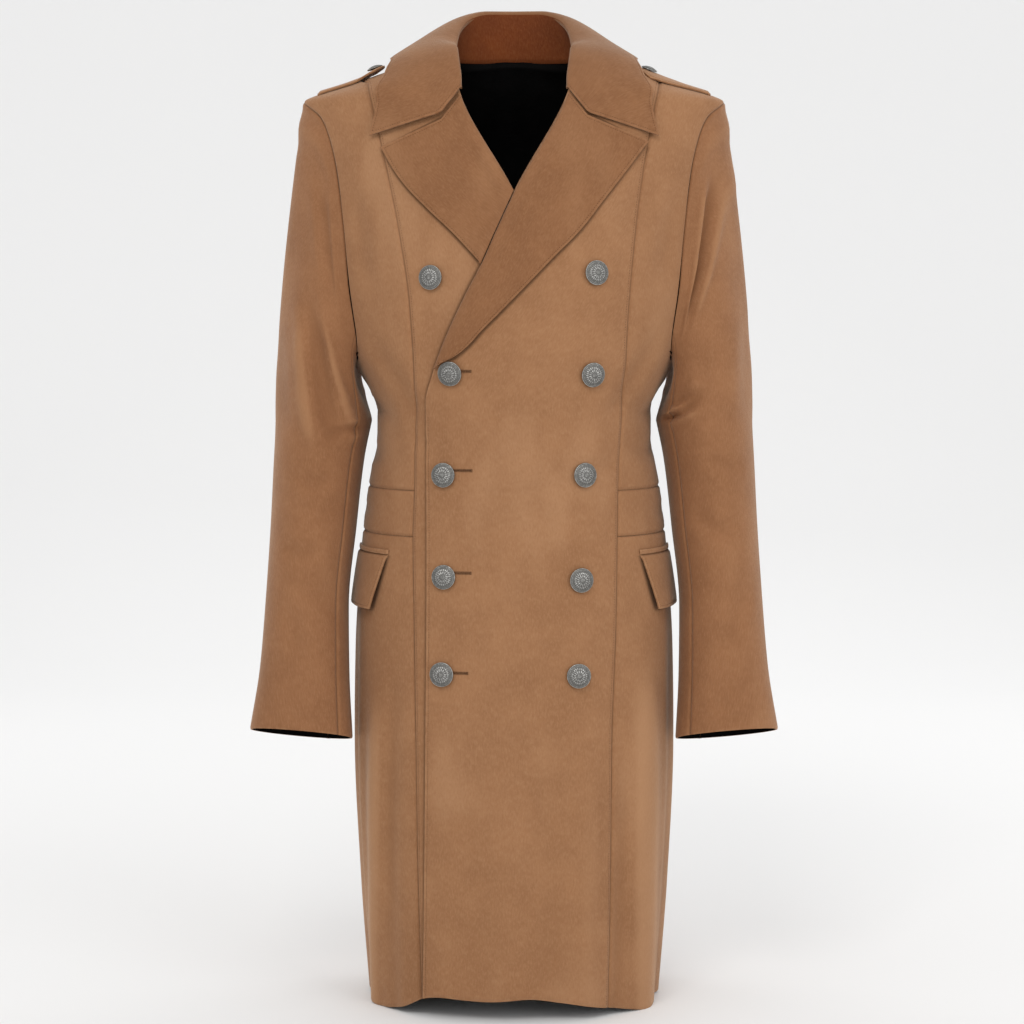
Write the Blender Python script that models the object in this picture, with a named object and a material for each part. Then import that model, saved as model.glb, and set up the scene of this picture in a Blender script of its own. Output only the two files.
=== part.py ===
"""A double-breasted coat, filled out as if worn, with no wearer. Metres, +Z up, the front faces -Y.

The origin is where the wearer's shoulders and neck carry the coat: on its middle plane, level with the
top of the shoulders. Every panel is a wall laid on one body form by an angle round the body and a height.
"""

from math import cos, pi, radians, sin

import bmesh
import bpy
import numpy as np
from mathutils import Matrix, Vector
from mathutils.bvhtree import BVHTree

# Cloth.
WALL = 0.002
SEAM_GAP = 0.0003
LAYER_GAP = 0.0014
LAYER = WALL + LAYER_GAP

# Heights.
UNDERARM_Z = -0.300
BAND_TOP_Z = -0.4285
BAND_BOTTOM_Z = -0.4755
SIDE_SEAM = 97.0  # degrees round from the front

# The hem hangs lower at the sides and behind than in front.
HEM_Z = -0.951
HEM_DIP = 0.021
HEM_DIP_FROM = 25  # degrees round from the front
HEM_DIP_OVER = 40

# Buttons.
BUTTON_DIAMETER = 0.025
EPAULETTE_BUTTON_DIAMETER = 0.017

# The body form: height, half width, depth in front, depth behind, squareness of the corners.
SECTIONS = (
    (-0.975, 0.1540, 0.126, 0.120, 0.04),
    (-0.850, 0.1630, 0.131, 0.124, 0.04),
    (-0.700, 0.1690, 0.133, 0.127, 0.04),
    (-0.600, 0.1680, 0.133, 0.126, 0.04),
    (-0.500, 0.1620, 0.131, 0.118, 0.04),
    (-0.430, 0.1540, 0.129, 0.108, 0.04),
    (-0.370, 0.1440, 0.130, 0.105, 0.04),
    (-0.350, 0.1440, 0.131, 0.106, 0.04),
    (-0.325, 0.1550, 0.132, 0.109, 0.04),
    (-0.285, 0.1740, 0.134, 0.114, 0.04),
    (-0.220, 0.1920, 0.134, 0.118, 0.03),
    (-0.150, 0.2020, 0.128, 0.118, 0.02),
    (-0.100, 0.2100, 0.119, 0.114, 0.01),
    (-0.060, 0.2180, 0.105, 0.105, 0.00),
    (-0.030, 0.2226, 0.090, 0.093, 0.00),
    (-0.010, 0.1720, 0.079, 0.085, 0.00),
    (0.010, 0.1150, 0.069, 0.079, 0.00),
    (0.022, 0.0800, 0.060, 0.075, 0.00),
)
NECK_Z = SECTIONS[-1][0]
PRINCESS_TOP_Z = -0.003

# Princess seams: height, distance from the middle on the wearer's right (viewer's left), and left.
PRINCESS = (
    (-0.980, 0.0955, 0.0985),
    (-0.810, 0.0998, 0.1005),
    (-0.690, 0.1013, 0.1014),
    (-0.550, 0.1031, 0.1052),
    (-0.475, 0.1041, 0.1062),
    (-0.426, 0.1024, 0.1069),
    (-0.335, 0.1017, 0.1121),
    (-0.240, 0.1063, 0.1170),
    (-0.158, 0.1183, 0.1245),
    (-0.107, 0.1287, 0.1312),
    (-0.037, 0.1450, 0.1440),
    (-0.003, 0.1530, 0.1520),
)

# Roll line and front edge of the front that lies on top: height, place across.
TOP_FRONT_EDGE = (
    (-0.980, -0.0935),
    (-0.857, -0.0916),
    (-0.713, -0.0900),
    (-0.485, -0.0880),
    (-0.336, -0.0882),
    (-0.310, -0.0819),
    (-0.285, -0.0736),
    (-0.230, -0.0492),
    (-0.199, -0.0331),
    (-0.165, -0.0181),
    (-0.1235, 0.0010),
    (-0.0226, 0.0549),
    (0.0076, 0.0630),
    (0.022, 0.0800),
)
# The same for the front underneath, whose edge ends hidden under the other.
UNDER_FRONT_EDGE = (
    (-0.980, 0.0550),
    (-0.336, 0.0550),
    (-0.230, 0.0420),
    (-0.165, 0.0181),
    (-0.1235, -0.0010),
    (-0.0269, -0.0538),
    (0.0076, -0.0630),
    (0.022, -0.0800),
)

# Front and back halves of an armhole from the underarm up to the shoulder: angle, height.
ARMHOLE_FRONT = (
    (SIDE_SEAM, -0.3000),
    (72.0, -0.2960),
    (62.5, -0.2680),
    (60.5, -0.2360),
    (59.6, -0.1930),
    (59.5, -0.1500),
    (60.0, -0.1060),
    (61.5, -0.0740),
    (65.5, -0.0460),
    (90.0, -0.0262),
)
ARMHOLE_BACK = (
    (SIDE_SEAM, -0.3000),
    (112.0, -0.2930),
    (118.0, -0.2640),
    (120.0, -0.2300),
    (120.5, -0.1900),
    (120.0, -0.1480),
    (119.0, -0.1060),
    (117.0, -0.0740),
    (112.0, -0.0440),
    (90.0, -0.0262),
)

# Rows of a panel, from the hem up: skirt, waistband, up to the underarm, up to the shoulder.
SKIRT_ROWS = 6
BAND_ROWS = 1
CHEST_ROWS = 2
ARMHOLE_ROWS = len(ARMHOLE_FRONT) - 1
ALL_ROWS = SKIRT_ROWS + BAND_ROWS + CHEST_ROWS + ARMHOLE_ROWS
ARMHOLE_CROWDING = 1.7  # how much closer the rows come together towards the shoulder

BACK_COLUMNS = 7
NECK_SHARE = 3 / BACK_COLUMNS  # of the back's top edge, as far as the shoulder seam

# Sleeve, by height: outer, inner, front and back, as outside faces on the wearer's left.
SLEEVE = (
    (-0.687, 0.2765, 0.1690, -0.094, -0.008),
    (-0.620, 0.2660, 0.1725, -0.092, 0.004),
    (-0.550, 0.2605, 0.1735, -0.088, 0.020),
    (-0.470, 0.2560, 0.1660, -0.082, 0.046),
    (-0.400, 0.2530, 0.1580, -0.078, 0.062),
    (-0.360, 0.2510, 0.1500, -0.076, 0.072),
)
CAP_OUT = 0.035  # how far the cap leaves the shoulder sideways, as a share of its way down
CAP_DOWN = 0.28
CAP_HANG = 0.35  # how straight it hangs into the first round ring
CAP_REACH = 0.25  # length of cap, in metres, from which it does so fully
UNDERARM_BULGE = 0.012  # how far the sleeve stands away from the body on its way down
UNDERARM_OFF = 0.0022  # how far outside the body form it starts there
UNDERARM_SPREAD = 1.6  # how quickly that comes in round the armhole
SLEEVE_STEP_WIDTH = 0.0125  # one step round, at its narrowest
SLEEVE_ROWS = 13
CAP_SHARE = 0.4  # of the sleeve's length grid, down to its first round ring
SLEEVE_ROUND = 2 * ARMHOLE_ROWS
FRONT_ARM_SEAM = 2  # steps round from the underarm
BACK_ARM_SEAM = 3
CUFF_DROP = 0.020  # how much lower the back of a cuff hangs
CUFF_LEAN = 0.009  # how much lower its side next to the body hangs

# Colours (linear) and finish: base colour, roughness, metallic.
WOOL = ((0.335, 0.163, 0.083, 1.0), 0.85, 0.0)
LINING = ((0.012, 0.010, 0.010, 1.0), 0.45, 0.0)
SILVER = ((0.36, 0.36, 0.35, 1.0), 0.35, 1.0)


def smooth_rows(rows, where):
    """Every column of a table at one place, by a smooth curve that never overshoots the rows."""
    table = np.array(rows, float)
    keys = table[:, 0]
    values = table[:, 1:]
    steps = np.diff(keys)
    slopes = np.diff(values, axis=0) / steps[:, None]
    tangents = np.zeros_like(values)
    tangents[0] = slopes[0]
    tangents[-1] = slopes[-1]
    for i in range(1, len(keys) - 1):
        first = 2 * steps[i] + steps[i - 1]
        second = steps[i] + 2 * steps[i - 1]
        for column in range(values.shape[1]):
            before, after = slopes[i - 1, column], slopes[i, column]
            if before * after > 0:
                tangents[i, column] = (first + second) / (first / before + second / after)
    where = min(max(where, keys[0]), keys[-1])
    i = min(int(np.searchsorted(keys, where, side="right")) - 1, len(steps) - 1)
    step = steps[i]
    t = (where - keys[i]) / step
    start = (1 + 2 * t) * (1 - t) ** 2 * values[i] + t * (1 - t) ** 2 * step * tangents[i]
    end = t * t * (3 - 2 * t) * values[i + 1] + t * t * (t - 1) * step * tangents[i + 1]
    return start + end


def ease(t):
    t = min(max(t, 0.0), 1.0)
    return t * t * (3 - 2 * t)


def mix(a, b, t):
    return a + (b - a) * t


def on_form(angle, z):
    """The point of the body form at an angle from the front (towards the wearer's left) and a height."""
    half_width, front, back, squareness = smooth_rows(SECTIONS, z)
    turn = radians(angle)
    corner = 1 + squareness * sin(2 * turn) ** 2
    depth = front if cos(turn) > 0 else back
    return Vector((half_width * sin(turn) * corner, -depth * cos(turn) * corner, z))


def outward(angle, z):
    """The direction straight out of the body form."""
    step = 0.5
    rise = 0.001
    low = min(z, NECK_Z - rise)
    round_way = on_form(angle + step, low) - on_form(angle - step, low)
    up_way = on_form(angle, low + rise) - on_form(angle, low - rise)
    return round_way.cross(up_way).normalized()


def lifted(angle, z, height):
    return on_form(angle, z) + outward(angle, z) * height


def angle_at(x, z):
    """The angle, in front, at which the body form is this far across."""
    low, high = 0.0, 90.0
    for _ in range(40):
        middle = (low + high) / 2
        if on_form(middle, z).x < abs(x):
            low = middle
        else:
            high = middle
    return low if x >= 0 else -low


def top_of_form(x, y):
    """The height of the body form over a place on the shoulders."""
    low, high = -0.2, NECK_Z
    for _ in range(40):
        z = (low + high) / 2
        half_width, front, back, _ = smooth_rows(SECTIONS, z)
        depth = front if y < 0 else back
        if (x / half_width) ** 2 + (y / depth) ** 2 < 1:
            low = z
        else:
            high = z
    return low


def hem_z(angle):
    return HEM_Z - HEM_DIP * ease((abs(angle) - HEM_DIP_FROM) / HEM_DIP_OVER)


def along(points, t):
    """A place along a list of points that are evenly spaced in t."""
    where = t * (len(points) - 1)
    i = min(int(where), len(points) - 2)
    return mix(np.array(points[i], float), np.array(points[i + 1], float), where - i)


def row_height(row, top):
    """The height of a row on a seam that runs from the hem to a given top."""
    if row <= SKIRT_ROWS:
        return row / SKIRT_ROWS, None
    if row <= SKIRT_ROWS + BAND_ROWS:
        return None, mix(BAND_BOTTOM_Z, BAND_TOP_Z, (row - SKIRT_ROWS) / BAND_ROWS)
    upper = row - SKIRT_ROWS - BAND_ROWS
    if upper <= CHEST_ROWS:
        return None, mix(BAND_TOP_Z, UNDERARM_Z, upper / CHEST_ROWS)
    rise = (upper - CHEST_ROWS) / ARMHOLE_ROWS
    return None, mix(UNDERARM_Z, top, 1 - (1 - rise) ** ARMHOLE_CROWDING)


def seam_place(row, top, angle_of):
    """(angle, height) of a row on a seam, whose angle is known at each height."""
    skirt, z = row_height(row, top)
    if z is None:
        hem = hem_z(angle_of(HEM_Z))
        z = mix(hem, BAND_BOTTOM_Z, skirt)
    return np.array((angle_of(z), z))


def princess(side, row):
    column = 0 if side < 0 else 1

    def angle_of(z):
        return side * angle_at(smooth_rows(PRINCESS, z)[column], z)

    place = seam_place(row, PRINCESS_TOP_Z, angle_of)
    if row == ALL_ROWS:
        place[0] = side * 90.0
    return place


def front_edge(table, row):
    def angle_of(z):
        return angle_at(smooth_rows(table, z)[0], z)

    place = seam_place(row, NECK_Z, angle_of)
    if row == ALL_ROWS:
        place[0] = 90.0 if place[0] > 0 else -90.0
    return place


def side_seam(side, row, armhole):
    """The side seam up to the underarm, and one half of the armhole above it."""
    upper = row - SKIRT_ROWS - BAND_ROWS - CHEST_ROWS
    if upper > 0:
        angle, z = armhole[upper]
        return np.array((side * angle, z))
    return seam_place(row, NECK_Z, lambda z: side * SIDE_SEAM)


def centre_back(side, row):
    return seam_place(row, NECK_Z, lambda z: side * 180.0)


def patch(left, right, top, bottom):
    """A Coons patch: (angle, height) inside four edges, each a function of 0 to 1."""

    def place(s, t):
        sides = mix(left(t), right(t), s)
        ends = mix(bottom(s), top(s), t)
        corners = mix(mix(left(0.0), right(0.0), s), mix(left(1.0), right(1.0), s), t)
        return sides + ends - corners

    return place


def rows_between(edge, first, last):
    """An edge's rows from first to last, as a function of 0 to 1."""
    points = [edge(row) for row in range(first, last + 1)]
    return lambda t: along(points, t)


def straight(start, end):
    return lambda s: mix(start, end, s)


def hem_between(start, end):
    def place(s):
        angle = mix(start[0], end[0], s)
        return np.array((angle, hem_z(angle)))

    return place


def finish(name, colour, roughness, metallic):
    material = bpy.data.materials.new(name)
    material.use_nodes = True
    shader = material.node_tree.nodes["Principled BSDF"]
    shader.inputs["Base Color"].default_value = colour
    shader.inputs["Roughness"].default_value = roughness
    shader.inputs["Metallic"].default_value = metallic
    return material


def add_object(name, bm, look):
    bmesh.ops.recalc_face_normals(bm, faces=bm.faces)
    mesh = bpy.data.meshes.new(name)
    bm.to_mesh(mesh)
    bm.free()
    mesh.shade_smooth()
    mesh.set_sharp_from_angle(angle=radians(40))
    mesh.materials.append(finish(name, *look))
    obj = bpy.data.objects.new(name, mesh)
    bpy.context.scene.collection.objects.link(obj)
    return obj


def cloth(name, columns, rows, surface, look=WOOL):
    """A wall from a grid: surface(s, t, side) gives its inner face at side 0 and its outer face at 1."""
    bm = bmesh.new()
    bmesh.ops.create_grid(bm, x_segments=columns, y_segments=rows, size=0.5)
    inner = list(bm.verts)
    grown = bmesh.ops.extrude_face_region(bm, geom=bm.faces[:])
    outer = [item for item in grown["geom"] if isinstance(item, bmesh.types.BMVert)]
    for side, points in ((0, inner), (1, outer)):
        for point in points:
            point.co = surface(point.co.x + 0.5, point.co.y + 0.5, side)
    return add_object(name, bm, look)


def panel(name, columns, rows, place, width, height, base=None, look=WOOL):
    """A wall on the body form. Its edges stop half a seam gap short, and base lifts its outer face."""
    across = SEAM_GAP / 2 / width
    upward = SEAM_GAP / 2 / height

    def surface(s, t, side):
        lift = base(s, t) if base else 0.0
        angle, z = place(mix(across, 1 - across, s), mix(upward, 1 - upward, t))
        return lifted(angle, z, lift - WALL * (1 - side))

    return cloth(name, columns, rows, surface, look)


# Lapels: height and place across of the outer edge, from the lower end up to the point.
LAPEL_END_Z = -0.303  # where the roll ends, just above the second button
TOP_LAPEL_EDGE = (
    (-0.2962, -0.0707),
    (-0.2930, -0.0620),
    (-0.2611, -0.0281),
    (-0.2257, 0.0065),
    (-0.1901, 0.0411),
    (-0.1665, 0.0643),
    (-0.1361, 0.0877),
    (-0.1055, 0.1112),
    (-0.0754, 0.1342),
)
UNDER_LAPEL_EDGE = (
    (-0.1960, -0.0350),
    (-0.1665, -0.0623),
    (-0.1442, -0.0856),
    (-0.1197, -0.1091),
    (-0.1033, -0.1211),
    (-0.0805, -0.1343),
)
GORGE = (0.0735, -0.0480)  # where collar and lapel part: across, height
GORGE_START = (0.0549, -0.0240)
NOTCH_GAP = 0.0025  # between the collar's end and the lapel's top edge
LAPEL_RISE = 0.001  # how much further off the chest a lapel's outer edge is
CROSS_Z = -0.1235  # where the two lapels cross
COVERED_Z = -0.199  # how far down the lapel underneath goes on under the other
COVERED_SHARE = 0.45  # of its grid
UNDER_LAPEL_CLEAR = -0.0012  # how far it stays off the edge above it

# Collar, from the middle of the back round to the front end: fold across, back and up, then the
# outer edge on the body form as angle and height.
COLLAR = (
    (0.0000, 0.0800, 0.0730, 180.0, -0.0040),
    (0.0270, 0.0740, 0.0725, 155.0, -0.0040),
    (0.0500, 0.0520, 0.0640, 128.0, 0.0010),
    (0.0600, 0.0150, 0.0450, 100.0, 0.0065),
    (0.0620, -0.0200, 0.0210, 72.0, 0.0040),
    (0.0600, -0.0480, 0.0030, 55.0, -0.0050),
    (0.0570, -0.0720, -0.0130, 38.5, -0.0330),
    (0.0549, -0.0835, -0.0240, 42.0, -0.0690),
)
COLLAR_OFF = 0.0052  # how far the collar's underside stands off the body form
COLLAR_MIDDLE_Y = 0.01  # the neck's middle
ROLL_OUT = 0.018  # how far the collar rolls out past its fold, and up
ROLL_UP = 0.006
SHOULDER_SHARE = 0.62  # of the way to its edge, where it is lifted over the shoulder
SHOULDER_LIFT = 0.010
LAID_FROM = 0.55  # of the way round, where it begins to lie down on the chest
LAID_OVER = 0.4
BENT_FROM = 0.8  # of the way round, where its lines begin to bend to the gorge
LAID_RISE = 0.3  # of a layer, that its fold is lifted there
NECK_INSET = -0.0035
STAND_FOOT = 0.0045  # how far above the neck seam the stand begins
STAND_REACH = 5 / 11  # how far round the stand goes, of the way to the collar's front end
GORGE_SHARE = 0.4  # how far along the collar's front end the gorge lies
# Neck seam under the collar, section by section: angle and height.
NECK_SEAM = (
    (180.0, 0.0220),
    (152.0, 0.0220),
    (122.0, 0.0220),
    (96.0, 0.0220),
    (72.0, 0.0210),
    (38.0, 0.0120),
    (21.0, -0.0090),
    (15.5, -0.0230),
)

# Buttons: the piece below, place across, height, lean across and lean up in degrees.
BUTTONS = (
    ("button_chest_right", "front_right", -0.0836, -0.2120, -22, 4),
    ("button_chest_left", "front_left", 0.0815, -0.2075, 24, 4),
    ("button_2_right", "front_left", -0.0635, -0.3080, -6, -8),
    ("button_2_left", "front_left", 0.0778, -0.3091, 2, 4),
    ("button_3_right", "front_left", -0.0700, -0.4115, 2, 2),
    ("button_3_left", "front_left", 0.0700, -0.4115, 14, 2),
    ("button_4_right", "front_left", -0.0701, -0.5150, 2, 4),
    ("button_4_left", "front_left", 0.0670, -0.5180, 4, -6),
    ("button_5_right", "front_left", -0.0723, -0.6141, 4, 6),
    ("button_5_left", "front_left", 0.0646, -0.6154, -12, 8),
)
LEAN_SHARE = 0.35  # of a lean that is the button's own, apart from its cloth's
# A button's outline as shares of its radius out and its own height, from the shank up to the crown.
BUTTON_HEIGHT = 0.0070
BUTTON_SIDES = 12
BUTTON_PROFILE = (
    (0.30, 0.00),
    (0.30, 0.22),
    (0.93, 0.26),
    (1.00, 0.40),
    (0.95, 0.56),
    (0.80, 0.66),
    (0.48, 0.92),
)

# Pockets, on both sides: angles of their front and back, then heights and how far they stand off.
POCKET_FRONT = 50.0
POCKET_BACK = 91.0
JET_TOP_Z = -0.4905
JET_BOTTOM_Z = -0.4950
JET_LIFT = 0.0008
JET_WALL = 0.0016
FLAP_TOP_Z = -0.4962
FLAP_BOTTOM_Z = -0.5530
FLAP_SLANT = 6.5  # degrees that the front edge runs back on its way down
FLAP_INSET = 0.5  # degrees that a flap is shorter than its jet at each end
FLAP_FLARE = 0.0040
FLAP_CURVE = 0.7

# Epaulettes: from the armhole seam to the free end, in plan.
STRAP_OUTER_X = 0.2040
STRAP_INNER_X = {1: 0.1290, -1: 0.1330}
STRAP_FRONT_Y = {1: -0.043, -1: -0.026}  # at the free end
STRAP_SEAM_Y = -0.023  # of its front edge at the armhole
STRAP_BACK_Y = {1: 0.000, -1: 0.018}  # at the free end
STRAP_SEAM_BACK_Y = 0.018
STRAP_TIP = 0.009  # how far its corners are behind its tip
STRAP_BUTTON_FROM_END = 0.0100
STRAP_LIFT = 0.0010
STRAP_SPRING = {1: 0.0010, -1: 0.0040}  # how far the free end springs up
STRAP_SPRING_FROM = 0.6

# The lining that shows through the neck.
LINING_WALL = 0.0015
LINING_TOP = 0.998  # of the way up the back
LINING_FREE = 0.0060  # how far it hangs free of the back at its top
LINING_FREE_FROM = 0.3
LINING_FREE_OVER = 0.5

# The front on top passes over the other by one layer, and comes down to the princess seam and the neck.
OVER_SIDE = 0.18
OVER_TOP = 0.1

CLEAR_OF_CLOTH = 0.05


def build_fronts():
    def ends(side, table):
        princess_rows = rows_between(lambda row: princess(side, row), 0, ALL_ROWS)
        edge_rows = rows_between(lambda row: front_edge(table, row), 0, ALL_ROWS)
        return princess_rows, edge_rows

    seam, edge = ends(1, TOP_FRONT_EDGE)
    place = patch(edge, seam, straight(edge(1.0), seam(1.0)), hem_between(edge(0.0), seam(0.0)))

    def over(s, t):
        to_side = ease((s - 1 + OVER_SIDE) / OVER_SIDE)
        to_top = ease((t - 1 + OVER_TOP) / OVER_TOP)
        return LAYER * (1 - to_side) * (1 - to_top)

    panel("front_left", 12, ALL_ROWS, place, width=0.19, height=0.97, base=over)
    seam, edge = ends(-1, UNDER_FRONT_EDGE)
    place = patch(seam, edge, straight(seam(1.0), edge(1.0)), hem_between(seam(0.0), edge(0.0)))
    panel("front_right", 10, ALL_ROWS, place, width=0.15, height=0.97)


def build_side_panels():
    band_row = SKIRT_ROWS + BAND_ROWS
    pieces = (
        ("side_skirt", 0, SKIRT_ROWS, 0.47),
        ("side_waistband", SKIRT_ROWS, band_row, 0.047),
        ("side_chest", band_row, ALL_ROWS, 0.42),
    )
    for side, name in ((1, "left"), (-1, "right")):
        for piece, first, last, height in pieces:
            front = rows_between(lambda row: princess(side, row), first, last)
            back = rows_between(lambda row: side_seam(side, row, ARMHOLE_FRONT), first, last)
            low = straight(front(0.0), back(0.0))
            if first == 0:
                low = hem_between(front(0.0), back(0.0))
            place = patch(front, back, straight(front(1.0), back(1.0)), low)
            panel(f"{piece}_{name}", 6, last - first, place, width=0.13, height=height)


def back_place(side):
    """(angle, height) on one half of the back, from its middle seam to its side seam and armhole."""

    def shoulder_line(s):
        if s < NECK_SHARE:
            return np.array((side * mix(180.0, 90.0, s / NECK_SHARE), NECK_Z))
        down = (s - NECK_SHARE) / (1 - NECK_SHARE)
        return np.array((side * 90.0, mix(NECK_Z, ARMHOLE_BACK[-1][1], down)))

    middle = rows_between(lambda row: centre_back(side, row), 0, ALL_ROWS)
    seam = rows_between(lambda row: side_seam(side, row, ARMHOLE_BACK), 0, ALL_ROWS)
    return patch(middle, seam, shoulder_line, hem_between(middle(0.0), seam(0.0)))


def build_backs():
    for side, name in ((1, "left"), (-1, "right")):
        panel(f"back_{name}", BACK_COLUMNS, ALL_ROWS, back_place(side), width=0.22, height=0.97)


def armhole_point(side, step):
    """A point of the armhole, counted from the underarm up the front, over and down the back."""
    if step <= ARMHOLE_ROWS:
        angle, z = ARMHOLE_FRONT[step]
    else:
        angle, z = ARMHOLE_BACK[2 * ARMHOLE_ROWS - step]
    return side * angle, z


def sleeve_ring(side, z, step, inwards):
    """A point of the hanging sleeve's outline at a height."""
    outer, inner, front, back = smooth_rows(SLEEVE, z)
    turn = 2 * pi * step / SLEEVE_ROUND
    half_width = (outer - inner) / 2 - inwards
    half_depth = (back - front) / 2 - inwards
    x = (outer + inner) / 2 - half_width * cos(turn)
    y = (front + back) / 2 - half_depth * sin(turn)
    return Vector((side * x, y, z))


def sleeve_start(side, step, inwards):
    """Where the sleeve leaves the armhole: in line with it, and just outside it at the underarm."""
    turn = 2 * pi * step / SLEEVE_ROUND
    under = ease(cos(turn) * UNDERARM_SPREAD)
    low = int(step)
    share = step - low
    spots = []
    for whole in (low, min(low + 1, SLEEVE_ROUND)):
        angle, z = armhole_point(side, whole)
        spots.append(lifted(angle, z, UNDERARM_OFF * under))
    start = mix(spots[0], spots[1], share)
    start.x += side * SEAM_GAP * 1.5
    angle, z = armhole_point(side, min(round(step), SLEEVE_ROUND))
    inner_way = mix(-outward(angle, z), Vector((side * cos(turn), sin(turn), 0)), under)
    return start + inner_way.normalized() * inwards


def sleeve_point(side, step, t, inwards):
    """A point of the sleeve: round by step, and along from the armhole at 0 to the cuff at 1."""
    top_z = SLEEVE[-1][0]
    cuff_z = SLEEVE[0][0]
    if t > CAP_SHARE:
        down = (t - CAP_SHARE) / (1 - CAP_SHARE)
        point = sleeve_ring(side, mix(top_z, cuff_z, down), step, inwards)
        turn = 2 * pi * step / SLEEVE_ROUND
        point.z += (CUFF_DROP / 2 * sin(turn) - CUFF_LEAN / 2 * cos(turn)) * down
        return point
    start = sleeve_start(side, step, inwards)
    end = sleeve_ring(side, top_z, step, inwards)
    chord = end - start
    reach = chord.length
    hang = ease(reach / CAP_REACH)
    bulge = Vector((side * UNDERARM_BULGE, 0, 0))
    out = mix(chord / 3 + bulge, Vector((side * CAP_OUT * reach, 0, -CAP_DOWN * reach)), hang)
    down = mix(chord / 3, Vector((0, 0, -CAP_HANG * reach)), hang)
    u = t / CAP_SHARE
    return (
        start * (1 - u) ** 3
        + (start + out) * 3 * u * (1 - u) ** 2
        + (end - down) * 3 * u * u * (1 - u)
        + end * u**3
    )


def build_sleeves():
    spans = (
        ("sleeve_top", FRONT_ARM_SEAM, SLEEVE_ROUND - BACK_ARM_SEAM),
        ("sleeve_under", -BACK_ARM_SEAM, FRONT_ARM_SEAM),
    )
    for side, name in ((1, "left"), (-1, "right")):
        for piece, first, last in spans:
            trim = SEAM_GAP / 2 / SLEEVE_STEP_WIDTH

            def surface(s, t, face):
                step = mix(first + trim, last - trim, s) % SLEEVE_ROUND
                return sleeve_point(side, step, t, WALL * (1 - face))

            cloth(f"{piece}_{name}", last - first, SLEEVE_ROWS, surface)


def edge_of(table, low, high, power=1.0):
    """An edge as (across, height) from one height to another."""

    def place(t):
        z = mix(low, high, t**power)
        return np.array((smooth_rows(table, z)[-1], z))

    return place


def build_lapels():
    roll = edge_of(TOP_FRONT_EDGE, LAPEL_END_Z, GORGE_START[1])
    outer = edge_of(TOP_LAPEL_EDGE, TOP_LAPEL_EDGE[0][0], TOP_LAPEL_EDGE[-1][0])
    below = np.array((0.0, -NOTCH_GAP))

    def top_edge(s):
        return along((roll(1.0) + below, np.array(GORGE) + below, outer(1.0)), s)

    place = patch(roll, outer, top_edge, straight(roll(0.0), outer(0.0)))

    def over(s, t, face):
        x, z = place(s, t)
        return lifted(angle_at(x, z), z, LAYER + LAYER_GAP + LAPEL_RISE * s + WALL * face)

    cloth("lapel_left", 5, 14, over)

    covered = edge_of(TOP_FRONT_EDGE, COVERED_Z, CROSS_Z)
    under_roll = edge_of(UNDER_FRONT_EDGE, CROSS_Z, UNDER_FRONT_EDGE[5][0])
    under_outer = edge_of(UNDER_LAPEL_EDGE, UNDER_LAPEL_EDGE[0][0], UNDER_LAPEL_EDGE[-1][0])
    clear = np.array((UNDER_LAPEL_CLEAR, 0.0))

    def inner_edge(t):
        if t < COVERED_SHARE:
            return covered(t / COVERED_SHARE) + clear
        shown = (t - COVERED_SHARE) / (1 - COVERED_SHARE)
        return under_roll(shown) + clear * (1 - shown)

    def under_top(s):
        gorge = np.array((-GORGE[0], GORGE[1] - 2 * NOTCH_GAP))
        return along((under_outer(1.0), gorge, inner_edge(1.0)), s)

    low = straight(under_outer(0.0), inner_edge(0.0))
    under_place = patch(under_outer, inner_edge, under_top, low)

    def under(s, t, face):
        x, z = under_place(s, t)
        return lifted(angle_at(x, z), z, LAYER_GAP + LAPEL_RISE * (1 - s) + WALL * face)

    cloth("lapel_right", 5, 10, under)


def collar_section(u):
    """(fold, neck seam, edge angle, edge height) at u: 0 in the middle of the back, 1 or -1 in front."""
    side = 1 if u >= 0 else -1
    fold_x, fold_y, fold_z, angle, z = along(COLLAR, abs(u))
    neck_angle, neck_z = along(NECK_SEAM, abs(u))
    fold = Vector((side * fold_x, fold_y, fold_z))
    neck = lifted(side * neck_angle, neck_z, NECK_INSET)
    return fold, neck, side * angle, z


def collar_over(u, t):
    """The underside of the collar's fall, standing over the shoulder: t from the fold to the edge."""
    fold, _, angle, z = collar_section(u)
    out = Vector((fold.x, fold.y - COLLAR_MIDDLE_Y, 0)).normalized()
    start = fold + out * LAYER_GAP
    edge = lifted(angle, z, COLLAR_OFF)
    first = start + out * ROLL_OUT + Vector((0, 0, ROLL_UP))
    second = mix(start, edge, SHOULDER_SHARE) + outward(angle, z) * SHOULDER_LIFT
    spot = (
        start * (1 - t) ** 3
        + first * 3 * t * (1 - t) ** 2
        + second * 3 * t * t * (1 - t)
        + edge * t**3
    )
    spot.z = max(spot.z, top_of_form(spot.x, spot.y) + COLLAR_OFF)
    return spot


def collar_laid(u, t):
    """The underside of the collar's front end, lying on the chest down to the gorge and the tip."""
    fold, _, angle, z = collar_section(u)
    edge = on_form(angle, z)
    start = np.array((fold.x, fold.z))
    end = np.array((edge.x, edge.z))
    gorge = np.array((GORGE[0] if u > 0 else -GORGE[0], GORGE[1]))
    bent = 0.5 * t / GORGE_SHARE if t < GORGE_SHARE else 1 - 0.5 * (1 - t) / (1 - GORGE_SHARE)
    plain = mix(start, end, t)
    bending = ease((abs(u) - BENT_FROM) / (1 - BENT_FROM))
    across, height = mix(plain, along((start, gorge, end), bent), bending)
    lift = COLLAR_OFF + LAYER * ease(1 - 2 * t) * LAID_RISE
    return lifted(angle_at(across, height), height, lift)


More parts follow.
